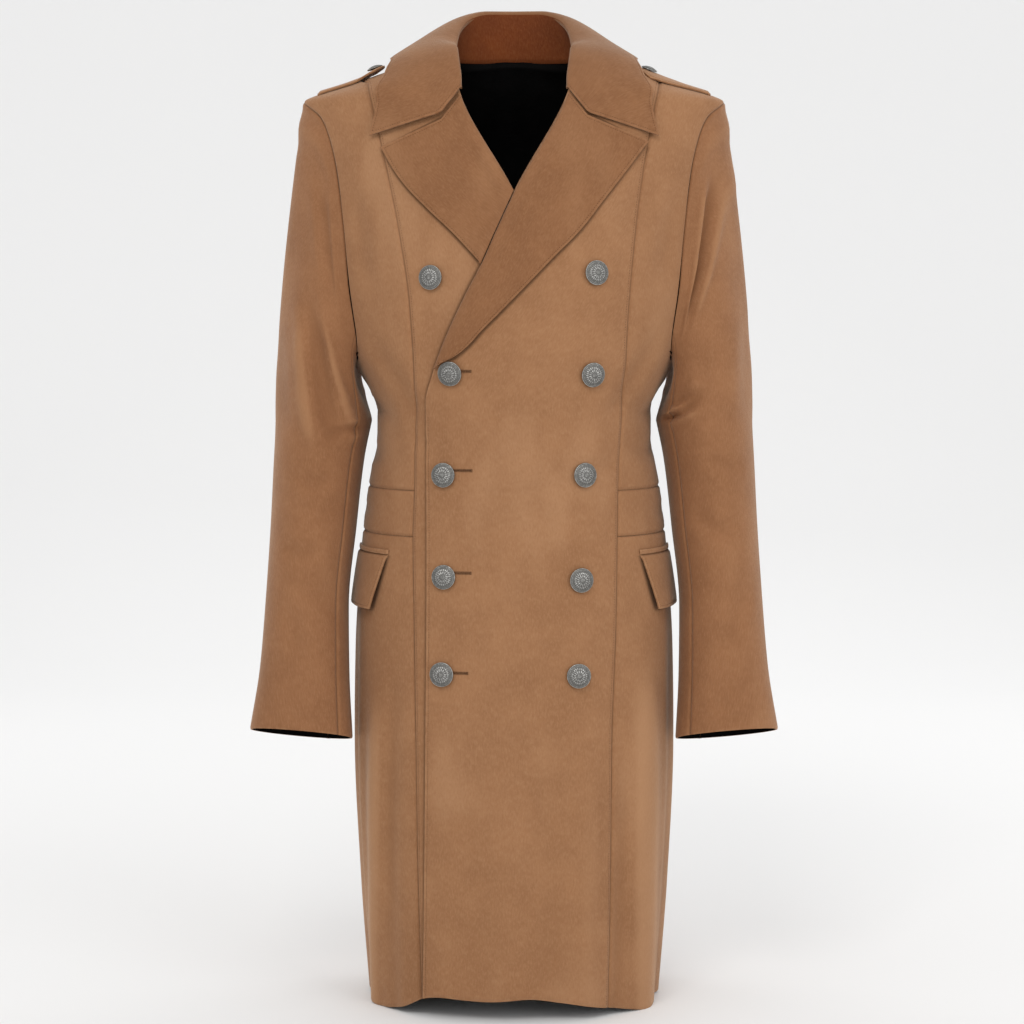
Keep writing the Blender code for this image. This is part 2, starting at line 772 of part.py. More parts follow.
def build_collar():
    def stand(s, t, face):
        fold, neck, _, _ = collar_section(STAND_REACH * (2 * s - 1))
        spot = mix(neck + Vector((0, 0, STAND_FOOT)), fold, t)
        inward = Vector((-spot.x, COLLAR_MIDDLE_Y - spot.y, 0)).normalized()
        return spot + inward * (2 * SEAM_GAP + WALL * (1 - face))

    cloth("collar_stand", 10, 2, stand)

    def under(s, t):
        u = 2 * s - 1
        return mix(collar_over(u, t), collar_laid(u, t), ease((abs(u) - LAID_FROM) / LAID_OVER))

    def fall(s, t, face):
        spot = under(s, t)
        if not face:
            return spot
        step = 0.01
        round_way = under(min(s + step, 1), t) - under(max(s - step, 0), t)
        down_way = under(s, min(t + step, 1)) - under(s, max(t - step, 0))
        return spot + round_way.cross(down_way).normalized() * WALL

    cloth("collar_fall", 22, 5, fall)


def build_lining():
    places = {side: back_place(side) for side in (1, -1)}
    first = (ALL_ROWS - ARMHOLE_ROWS) / ALL_ROWS
    widest = (BACK_COLUMNS - 1) / BACK_COLUMNS

    def surface(s, t, face):
        across = 2 * s - 1
        angle, z = places[1 if across >= 0 else -1](abs(across) * widest, mix(first, LINING_TOP, t))
        free = mix(SEAM_GAP * 2, LINING_FREE, ease((t - LINING_FREE_FROM) / LINING_FREE_OVER))
        return lifted(angle, z, -WALL - free - LINING_WALL * (1 - face))

    cloth("lining_back", 2 * (BACK_COLUMNS - 1), ARMHOLE_ROWS, surface, LINING)


def build_pockets():
    for side, name in ((1, "left"), (-1, "right")):

        def jet(s, t, face):
            angle = side * mix(POCKET_FRONT, POCKET_BACK, s)
            return lifted(angle, mix(JET_BOTTOM_Z, JET_TOP_Z, t), JET_LIFT + JET_WALL * face)

        def flap(s, t, face):
            front = POCKET_FRONT + FLAP_INSET + FLAP_SLANT * (1 - t)
            angle = side * mix(front, POCKET_BACK - FLAP_INSET, s)
            height = JET_LIFT + FLAP_FLARE * (1 - t) ** FLAP_CURVE
            return lifted(angle, mix(FLAP_BOTTOM_Z, FLAP_TOP_Z, t), height + WALL * face)

        cloth(f"pocket_jet_{name}", 8, 1, jet)
        cloth(f"pocket_flap_{name}", 6, 2, flap)


def strap_spot(side, s, t, height):
    """A point over the shoulder: s from the armhole to the free end, t from front to back."""
    tip = STRAP_TIP * (2 * t - 1) ** 2
    x = mix(STRAP_OUTER_X, STRAP_INNER_X[side] + tip, s)
    front_y = mix(STRAP_SEAM_Y, STRAP_FRONT_Y[side], s)
    back_y = mix(STRAP_SEAM_BACK_Y, STRAP_BACK_Y[side], s)
    y = mix(front_y, back_y, t)
    step = 0.002
    z = top_of_form(x, y)
    along_x = Vector((step, 0, top_of_form(x + step, y) - z))
    along_y = Vector((0, step, top_of_form(x, y + step) - z))
    up = along_x.cross(along_y).normalized()
    spot = Vector((x, y, z)) + up * height
    spot.x *= side
    return spot


def strap_lift(side, s):
    """How far a strap stands off the shoulder: the one on the wearer's right springs up most."""
    return STRAP_LIFT + STRAP_SPRING[side] * ease((s - STRAP_SPRING_FROM) / (1 - STRAP_SPRING_FROM))


def build_epaulettes():
    for side, name in ((1, "left"), (-1, "right")):

        def strap(s, t, face):
            return strap_spot(side, s, t, strap_lift(side, s) + WALL * face)

        cloth(f"epaulette_{name}", 7, 5, strap)


def button(name, diameter, spot, facing):
    """A domed metal button with a short shank, turned from a profile and set on the cloth."""
    radius = diameter / 2
    tall = BUTTON_HEIGHT * diameter / BUTTON_DIAMETER
    sides = BUTTON_SIDES
    bm = bmesh.new()
    rings = []
    for out, up in BUTTON_PROFILE:
        made = bmesh.ops.create_circle(bm, segments=sides, radius=radius * out)
        ring = made["verts"]
        for point in ring:
            point.co.z = tall * up
        rings.append(ring)
    for low, high in zip(rings, rings[1:]):
        for i in range(sides):
            j = (i + 1) % sides
            bm.faces.new((low[i], low[j], high[j], high[i]))
    bm.faces.new(rings[0][::-1])
    crown = bm.verts.new((0, 0, tall))
    for i in range(sides):
        bm.faces.new((rings[-1][i], rings[-1][(i + 1) % sides], crown))
    turn = Vector((0, 0, 1)).rotation_difference(facing).to_matrix().to_4x4()
    bmesh.ops.transform(bm, matrix=Matrix.Translation(spot) @ turn, verts=bm.verts)
    return add_object(name, bm, SILVER)


def seat_on(carrier, outside, facing):
    """Where a line into a piece of cloth first meets it, a seam gap outside."""
    graph = bpy.context.evaluated_depsgraph_get()
    tree = BVHTree.FromObject(bpy.data.objects[carrier], graph)
    hit = tree.ray_cast(outside, -facing)[0]
    return hit + facing * SEAM_GAP


def build_buttons():
    for name, carrier, x, z, lean, nod in BUTTONS:
        angle = angle_at(x, z)
        out = outward(angle, z)
        facing = (out + Vector((sin(radians(lean)), 0, sin(radians(nod)))) * LEAN_SHARE).normalized()
        tilt = out.angle(facing)
        seat = seat_on(carrier, lifted(angle, z, CLEAR_OF_CLOTH), out)
        shank = BUTTON_DIAMETER / 2 * BUTTON_PROFILE[0][0]
        button(name, BUTTON_DIAMETER, seat + out * shank * sin(tilt), facing)
    middle = 0.5
    for side, name in ((1, "left"), (-1, "right")):
        share = 1 - STRAP_BUTTON_FROM_END / (STRAP_OUTER_X - STRAP_INNER_X[side])
        high = strap_spot(side, share, middle, CLEAR_OF_CLOTH)
        facing = (high - strap_spot(side, share, middle, 0.0)).normalized()
        seat = seat_on(f"epaulette_{name}", high, facing)
        button(f"button_epaulette_{name}", EPAULETTE_BUTTON_DIAMETER, seat, facing)


def clear_scene():
    for obj in list(bpy.data.objects):
        bpy.data.objects.remove(obj, do_unlink=True)


clear_scene()
build_fronts()
build_side_panels()
build_backs()
build_sleeves()
build_lapels()
build_collar()
build_lining()
build_pockets()
build_epaulettes()
build_buttons()
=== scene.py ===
"""Looks of the double-breasted coat: wool panels, rolled collar and lapels, stitching and silver buttons."""

import logging
from collections.abc import Callable
from dataclasses import dataclass, field
from enum import Enum
from math import cos, hypot, pi, radians, sin

import bmesh
import bpy
import numpy as np
from mathutils import Matrix, Vector


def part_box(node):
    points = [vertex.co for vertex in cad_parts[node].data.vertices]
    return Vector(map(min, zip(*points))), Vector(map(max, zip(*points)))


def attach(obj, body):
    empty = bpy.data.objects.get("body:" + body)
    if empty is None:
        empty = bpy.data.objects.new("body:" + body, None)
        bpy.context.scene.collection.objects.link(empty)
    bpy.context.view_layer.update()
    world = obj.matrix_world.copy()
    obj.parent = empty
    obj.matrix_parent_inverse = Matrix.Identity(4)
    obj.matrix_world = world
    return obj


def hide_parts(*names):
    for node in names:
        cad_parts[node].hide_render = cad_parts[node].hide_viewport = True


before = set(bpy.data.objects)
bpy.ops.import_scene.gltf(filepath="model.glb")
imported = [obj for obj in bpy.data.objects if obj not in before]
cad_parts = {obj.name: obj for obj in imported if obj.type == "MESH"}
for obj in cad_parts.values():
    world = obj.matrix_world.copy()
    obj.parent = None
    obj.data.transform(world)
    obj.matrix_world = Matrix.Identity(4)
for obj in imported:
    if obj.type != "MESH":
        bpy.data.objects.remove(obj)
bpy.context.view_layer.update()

LOG = logging.getLogger("coat")

Array = np.ndarray
Surface = Callable[[Array, Array], Array]
Colour = tuple[float, float, float, float]
Flags = tuple[bool, bool, bool, bool]
Socket = bpy.types.NodeSocket

# Cloth.
WALL = 0.0018
SEAM_GAP = 0.0003
LAYER = 0.0034  # from one layer of cloth to the next
GRID = 0.0058  # usual spacing of a panel's grid
FINE_GRID = 0.0045
FINEST_GRID = 0.0035
STITCH_AT = 0.0031  # a stitched line from its edge
RIM_WIDTH = 0.0005
RIM_ANGLE = 50.0

# A grid's first lines, by how far from a border they lie.
BORDER = (0.0, 0.0005, 0.0011, 0.0017, 0.0024, 0.0031, 0.0038, 0.0048, 0.0068, 0.0094)

# Where a piece's width and length are measured, and at how many points.
PROBED_AT = (0.2, 0.5, 0.8)
PROBES = 41

# Heights, as the pieces are cut.
NECK_Z = 0.022
PRINCESS_TOP_Z = -0.003
UNDERARM_Z = -0.300
BAND_TOP_Z = -0.4285
BAND_BOTTOM_Z = -0.4755
SIDE_SEAM = 97.0  # degrees round from the front
HEM_READ_Z = -0.95  # where an edge's angle at the hem is read
HALVINGS = 26  # of a range, to find a place on the body form

# Rows of a panel from the hem up: skirt, waistband, chest, armhole.
SKIRT_ROWS = 6
BAND_ROWS = 1
CHEST_ROWS = 2
ARMHOLE_ROWS = 9
BAND_ROW = SKIRT_ROWS + BAND_ROWS
UNDERARM_ROW = BAND_ROW + CHEST_ROWS
ALL_ROWS = UNDERARM_ROW + ARMHOLE_ROWS
ARMHOLE_CROWDING = 1.7  # how much closer rows lie near the shoulder


class Side(Enum):
    """The wearer's left or right, as the sign of x."""

    LEFT = 1
    RIGHT = -1

    @property
    def word(self) -> str:
        """The side as it stands in a piece's name."""
        return self.name.lower()


class Slot(Enum):
    """Material slots of the record."""

    WOOL = "wool"
    LINING = "lining"
    SILVER = "antique_silver"


class Rows:
    """A short table, read at any place by a smooth curve that never overshoots its rows."""

    def __init__(self, rows: tuple[tuple[float, ...], ...]) -> None:
        """Keeps the table and its slopes.

        Args:
            rows: Each row's place, then its values.
        """
        table = np.array(rows, float)
        self.keys = table[:, 0]
        self.values = table[:, 1:]
        steps = np.diff(self.keys)
        slopes = np.diff(self.values, axis=0) / steps[:, None]
        before, after = slopes[:-1], slopes[1:]
        first = (2 * steps[1:] + steps[:-1])[:, None]
        second = (steps[1:] + 2 * steps[:-1])[:, None]
        same_way = before * after > 0
        safe_before = np.where(same_way, before, 1.0)
        safe_after = np.where(same_way, after, 1.0)
        middle = np.where(same_way, (first + second) / (first / safe_before + second / safe_after), 0.0)
        self.tangents = np.vstack([slopes[:1], middle, slopes[-1:]])
        self.steps = steps

    def __call__(self, where: Array) -> Array:
        """Reads every column.

        Args:
            where: Places, of any shape.

        Returns:
            The values, with one more axis for the columns.
        """
        where = np.clip(np.asarray(where, float), self.keys[0], self.keys[-1])
        i = np.clip(np.searchsorted(self.keys, where, side="right") - 1, 0, len(self.steps) - 1)
        step = self.steps[i][..., None]
        t = (where[..., None] - self.keys[i][..., None]) / step
        start = (1 + 2 * t) * (1 - t) ** 2 * self.values[i] + t * (1 - t) ** 2 * step * self.tangents[i]
        end = t * t * (3 - 2 * t) * self.values[i + 1]
        return start + end + t * t * (t - 1) * step * self.tangents[i + 1]

    @property
    def ends(self) -> tuple[float, float]:
        """The first and the last place of the table."""
        return float(self.keys[0]), float(self.keys[-1])

    def column(self, where: Array, index: int = 0) -> Array:
        """Reads one column."""
        return self(where)[..., index]


# The body form: height, half width, depth in front, depth behind, squareness of the corners.
SECTIONS = Rows((
    (-0.975, 0.1540, 0.126, 0.120, 0.04),
    (-0.850, 0.1630, 0.131, 0.124, 0.04),
    (-0.700, 0.1690, 0.133, 0.127, 0.04),
    (-0.600, 0.1680, 0.133, 0.126, 0.04),
    (-0.500, 0.1620, 0.131, 0.118, 0.04),
    (-0.430, 0.1540, 0.129, 0.108, 0.04),
    (-0.370, 0.1440, 0.130, 0.105, 0.04),
    (-0.350, 0.1440, 0.131, 0.106, 0.04),
    (-0.325, 0.1550, 0.132, 0.109, 0.04),
    (-0.285, 0.1740, 0.134, 0.114, 0.04),
    (-0.220, 0.1920, 0.134, 0.118, 0.03),
    (-0.150, 0.2020, 0.128, 0.118, 0.02),
    (-0.100, 0.2100, 0.119, 0.114, 0.01),
    (-0.060, 0.2180, 0.105, 0.105, 0.00),
    (-0.030, 0.2226, 0.090, 0.093, 0.00),
    (-0.010, 0.1720, 0.079, 0.085, 0.00),
    (0.010, 0.1150, 0.069, 0.079, 0.00),
    (0.022, 0.0800, 0.060, 0.075, 0.00),
))

# Princess seams: height, distance from the middle on the wearer's right, and left.
PRINCESS = Rows((
    (-0.980, 0.0955, 0.0985),
    (-0.810, 0.0998, 0.1005),
    (-0.690, 0.1013, 0.1014),
    (-0.550, 0.1031, 0.1052),
    (-0.475, 0.1041, 0.1062),
    (-0.426, 0.1024, 0.1069),
    (-0.335, 0.1017, 0.1121),
    (-0.240, 0.1063, 0.1170),
    (-0.158, 0.1183, 0.1245),
    (-0.107, 0.1287, 0.1312),
    (-0.037, 0.1450, 0.1440),
    (-0.003, 0.1530, 0.1520),
))

# Front edge and roll line of the front on top, then of the front underneath: height, place across.
TOP_FRONT_EDGE = Rows((
    (-0.980, -0.0935),
    (-0.857, -0.0916),
    (-0.713, -0.0900),
    (-0.485, -0.0880),
    (-0.336, -0.0882),
    (-0.310, -0.0819),
    (-0.285, -0.0736),
    (-0.230, -0.0492),
    (-0.199, -0.0331),
    (-0.165, -0.0181),
    (-0.1235, 0.0010),
    (-0.0226, 0.0549),
    (0.0076, 0.0630),
    (0.022, 0.0800),
))
UNDER_FRONT_EDGE = Rows((
    (-0.980, 0.0550),
    (-0.336, 0.0550),
    (-0.230, 0.0420),
    (-0.165, 0.0181),
    (-0.1235, -0.0010),
    (-0.0269, -0.0538),
    (0.0076, -0.0630),
    (0.022, -0.0800),
))

# The armhole, by step from the underarm up the front, over the shoulder and down the back: angle, height.
ARMHOLE = Rows((
    (0, SIDE_SEAM, -0.3000),
    (1, 72.0, -0.2960),
    (2, 62.5, -0.2680),
    (3, 60.5, -0.2360),
    (4, 59.6, -0.1930),
    (5, 59.5, -0.1500),
    (6, 60.0, -0.1060),
    (7, 61.5, -0.0740),
    (8, 65.5, -0.0460),
    (9, 90.0, -0.0262),
    (10, 112.0, -0.0440),
    (11, 117.0, -0.0740),
    (12, 119.0, -0.1060),
    (13, 120.0, -0.1480),
    (14, 120.5, -0.1900),
    (15, 120.0, -0.2300),
    (16, 118.0, -0.2640),
    (17, 112.0, -0.2930),
    (18, SIDE_SEAM, -0.3000),
))
ARM_STEPS = 18

# Sleeve, by height: outer, inner, front and back faces on the wearer's left.
SLEEVE = Rows((
    (-0.687, 0.2765, 0.1690, -0.094, -0.008),
    (-0.620, 0.2660, 0.1725, -0.092, 0.004),
    (-0.550, 0.2605, 0.1735, -0.088, 0.020),
    (-0.470, 0.2560, 0.1660, -0.082, 0.046),
    (-0.400, 0.2530, 0.1580, -0.078, 0.062),
    (-0.360, 0.2510, 0.1500, -0.076, 0.072),
))
SLEEVE_TOP_Z = -0.360
CUFF_Z = -0.687
CUFF_DROP = 0.020
CUFF_LEAN = 0.009
CAP_SHARE = 0.4
CAP_OUT = 0.035
CAP_DOWN = 0.28
FRONT_ARM_SEAM = 2
BACK_ARM_SEAM = 3

# The hem's plain line in front, how much lower it is at the sides, and its wave behind.
HEM_Z = -0.951
HEM_DROP = 0.021
HEM_WAVE = 0.002
HEM_HALF_WIDTH = 0.158

# How much the hem dips below its plain line, by place across, on the front.
HEM_DIP = Rows((
    (-0.150, 0.001),
    (-0.115, 0.005),
    (-0.085, -0.001),
    (-0.030, 0.002),
    (0.015, -0.001),
    (0.050, 0.004),
    (0.090, 0.010),
    (0.125, 0.006),
    (0.155, 0.000),
))


# The two ends of an edge.
ZERO, ONE = np.array(0.0), np.array(1.0)


def ease(t: Array) -> Array:
    """A smooth step from 0 to 1."""
    t = np.clip(t, 0.0, 1.0)
    return t * t * (3 - 2 * t)


def mix(a: Array, b: Array, t: Array) -> Array:
    """Goes from a to b as t goes from 0 to 1."""
    return a + (b - a) * t


def unit(vectors: Array) -> Array:
    """Vectors of length 1."""
    return vectors / np.maximum(np.linalg.norm(vectors, axis=-1, keepdims=True), 1e-12)


class BodyForm:
    """The form that every panel is laid on, by an angle round from the front and a height."""

    @staticmethod
    def point(angle: Array, z: Array) -> Array:
        """Points on the form.

        Args:
            angle: Degrees from the front, towards the wearer's left.
            z: Heights in metres.

        Returns:
            Points, with x, y and z along the last axis.
        """
        half_width, front, back, squareness = np.moveaxis(SECTIONS(z), -1, 0)
        turn = np.radians(angle)
        corner = 1 + squareness * np.sin(2 * turn) ** 2
        depth = np.where(np.cos(turn) > 0, front, back)
        x, y = half_width * np.sin(turn) * corner, -depth * np.cos(turn) * corner
        return np.stack([x, y, z + 0 * turn], -1)

    @classmethod
    def normal(cls, angle: Array, z: Array) -> Array:
        """Directions straight out of the form."""
        low = np.minimum(z, NECK_Z - 0.001)
        round_way = cls.point(angle + 0.5, low) - cls.point(angle - 0.5, low)
        up_way = cls.point(angle, low + 0.001) - cls.point(angle, low - 0.001)
        return unit(np.cross(round_way, up_way))

    @classmethod
    def lifted(cls, angle: Array, z: Array, height: Array) -> Array:
        """Points a given height off the form."""
        return cls.point(angle, z) + cls.normal(angle, z) * np.asarray(height)[..., None]

    @classmethod
    def angle_at(cls, x: Array, z: Array) -> Array:
        """The angles, in front, at which the form is this far across."""
        x = np.asarray(x, float)
        low = np.zeros(np.broadcast(x, z).shape)
        high = low + 90.0
        for _ in range(HALVINGS):
            middle = (low + high) / 2
            short = cls.point(middle, z)[..., 0] < np.abs(x)
            low = np.where(short, middle, low)
            high = np.where(short, high, middle)
        return np.where(x >= 0, low, -low)

    @staticmethod
    def top(x: Array, y: Array) -> Array:
        """The height of the form over places on the shoulders."""
        low = np.full(np.broadcast(x, y).shape, -0.2)
        high = low * 0 + NECK_Z
        for _ in range(HALVINGS):
            z = (low + high) / 2
            half_width, front, back, _ = np.moveaxis(SECTIONS(z), -1, 0)
            depth = np.where(y < 0, front, back)
            inside = (x / half_width) ** 2 + (y / depth) ** 2 < 1
            low = np.where(inside, z, low)
            high = np.where(inside, high, z)
        return low

    @staticmethod
    def hem(angle: Array) -> Array:
        """Heights of the hem, lower at the sides and behind, and gently uneven."""
        angle = np.asarray(angle, float)
        plain = HEM_Z - HEM_DROP * ease((np.abs(angle) - 25) / 40)
        across = HEM_HALF_WIDTH * np.sin(np.radians(angle))
        in_front = ease((100 - np.abs(angle)) / 30)
        behind = HEM_WAVE * np.sin(np.radians(angle) * 5)
        return plain - HEM_DIP.column(across) * in_front - behind * (1 - in_front)


def row_height(row: Array, hem: Array, top: float) -> Array:
    """Heights of rows on a seam.

    Args:
        row: Rows, from 0 at the hem.
        hem: Height of the hem on this seam.
        top: Height of the seam's upper end.

    Returns:
        Heights in metres.
    """
    row = np.asarray(row, float)
    skirt = mix(hem, BAND_BOTTOM_Z, row / SKIRT_ROWS)
    band = mix(BAND_BOTTOM_Z, BAND_TOP_Z, (row - SKIRT_ROWS) / BAND_ROWS)
    chest = mix(BAND_TOP_Z, UNDERARM_Z, (row - BAND_ROW) / CHEST_ROWS)
    rise = np.clip((row - UNDERARM_ROW) / ARMHOLE_ROWS, 0, 1)
    upper = mix(UNDERARM_Z, top, 1 - (1 - rise) ** ARMHOLE_CROWDING)
    picks = [row <= SKIRT_ROWS, row <= BAND_ROW, row <= UNDERARM_ROW]
    return np.select(picks, [skirt, band, chest], upper)


def pair(angle: Array, z: Array) -> Array:
    """Angles and heights side by side."""
    angle, z = np.broadcast_arrays(angle, z)
    return np.stack([angle, z], -1)


def to_shoulder(angle: Array, row: Array) -> Array:
    """Brings a seam's angle to the shoulder seam, straight above the side, in its last row."""
    return mix(angle, 90.0, ease(np.asarray(row, float) - (ALL_ROWS - 1)))


def princess(side: Side, row: Array) -> Array:
    """(angle, height) of rows on a princess seam."""
    index = 0 if side is Side.RIGHT else 1
    low = np.array(HEM_READ_Z)
    hem = BodyForm.hem(side.value * BodyForm.angle_at(PRINCESS.column(low, index), low))
    z = row_height(row, hem, PRINCESS_TOP_Z)
    angle = BodyForm.angle_at(PRINCESS.column(z, index), z)
    return pair(side.value * to_shoulder(angle, row), z)


def front_edge(table: Rows, row: Array) -> Array:
    """(angle, height) of rows on the edge of a front."""
    low = np.array(HEM_READ_Z)
    hem = BodyForm.hem(BodyForm.angle_at(table.column(low), low))
    z = row_height(row, hem, NECK_Z)
    angle = BodyForm.angle_at(table.column(z), z)
    return pair(np.sign(angle) * to_shoulder(np.abs(angle), row), z)


def side_seam(side: Side, row: Array, behind: bool) -> Array:
    """(angle, height) of rows on the side seam, and on one half of the armhole above it."""
    z = row_height(row, BodyForm.hem(np.array(SIDE_SEAM)), NECK_Z)
    step = np.clip(np.asarray(row, float) - UNDERARM_ROW, 0, ARMHOLE_ROWS)
    angle, height = np.moveaxis(ARMHOLE(ARM_STEPS - step if behind else step), -1, 0)
    above = np.asarray(row) > UNDERARM_ROW
    return pair(side.value * np.where(above, angle, SIDE_SEAM), np.where(above, height, z))


def coons(left: Surface, right: Surface, top: Surface, bottom: Surface, late: float = 1.0) -> Surface:
    """Fills four edges smoothly.

    Args:
        left: Edge at s = 0, by t.
        right: Edge at s = 1, by t.
        top: Edge at t = 1, by s.
        bottom: Edge at t = 0, by s.
        late: How much later than evenly the shape of the top edge comes in.

    Returns:
        A function of s and t that gives pairs.
    """

    def place(s: Array, t: Array) -> Array:
        """Pairs inside the four edges."""
        across, along = s[..., None], t[..., None] ** late
        zero, one = np.zeros(1), np.ones(1)
        sides = mix(left(t), right(t), across)
        ends = mix(bottom(s), top(s), along)
        low = mix(left(zero), right(zero), across)
        high = mix(left(one), right(one), across)
        return sides + ends - mix(low, high, along)

    return place


def straight(start: Array, end: Array) -> Surface:
    """A straight edge between two pairs."""
    return lambda s: mix(start, end, np.asarray(s)[..., None])


def hem_edge(start: Array, end: Array) -> Surface:
    """The hem between two pairs."""

    def place(s: Array) -> Array:
        """Pairs along the hem."""
        angle = mix(start[..., 0], end[..., 0], s)
        return pair(angle, BodyForm.hem(angle))

    return place


def polyline(points: list[Array]) -> Surface:
    """An edge through a few pairs, evenly spaced in s."""
    table = np.array([np.asarray(point, float).reshape(2) for point in points])
    places = np.linspace(0, 1, len(table))
    return lambda s: np.stack([np.interp(s, places, table[:, i]) for i in range(2)], -1)


# A fold's ends die down over this share of its length. Its lips lie this many widths out, this sharp.
FOLD_FADE = 0.35
LIP_AT = 1.7
LIP_SHARPNESS = 2.2


@dataclass(frozen=True)
class Fold:
    """A soft trough laid along a path over a surface, with low lips beside it."""

    path: tuple[tuple[float, float], ...]
    width: float
    depth: float  # of the trough; a ridge is negative
    lip: float = 0.35
    runs_off: bool = False  # the last point is at an edge, and the fold goes on over it

    def height(self, a: Array, b: Array, scale: tuple[float, float]) -> Array:
        """Reads the fold.

        Args:
            a: First coordinates of the surface.
            b: Second coordinates of the surface.
            scale: Metres per unit of both.

        Returns:
            Heights in metres.
        """
        points = np.array(self.path) * scale
        at = np.stack([a * scale[0], b * scale[1]], -1)
        lengths = np.linalg.norm(np.diff(points, axis=0), axis=1)
        passed = np.concatenate([[0.0], np.cumsum(lengths)])
        nearest = np.full(at.shape[:-1], 1e9)
        along = np.zeros(at.shape[:-1])
        for i, length in enumerate(lengths):
            way = (points[i + 1] - points[i]) / length
            share = np.clip((at - points[i]) @ way, 0, length)
            away = np.linalg.norm(at - points[i] - share[..., None] * way, axis=-1)
            along = np.where(away < nearest, (passed[i] + share) / passed[-1], along)
            nearest = np.minimum(nearest, away)
        fade = ease(along / FOLD_FADE)
        if not self.runs_off:
            fade = fade * ease((1 - along) / FOLD_FADE)
        reach = nearest / self.width
        lips = self.lip * np.exp(-((reach - LIP_AT) ** 2) * LIP_SHARPNESS)
        return -self.depth * fade * (np.exp(-(reach**2)) - lips)


class Border(Enum):
    """What a border of a piece of cloth is."""

    SEAM = "seam"
    FOLDED = "folded"
    FREE = "free"


SEAM, FOLDED, FREE = Border
Borders = tuple[Border, Border, Border, Border]


@dataclass(frozen=True)
class Looks:
    """What a piece is finished in: its outer side, its inner side, and the record's slot."""

    outer: bpy.types.Material
    inner: bpy.types.Material
    slot: Slot


@dataclass(frozen=True)
class Cut:
    """How a piece of cloth was cut and how it is held."""

    flat: tuple[float, float]
    held: str = "hung"
    rests_on: tuple[str, ...] = ()


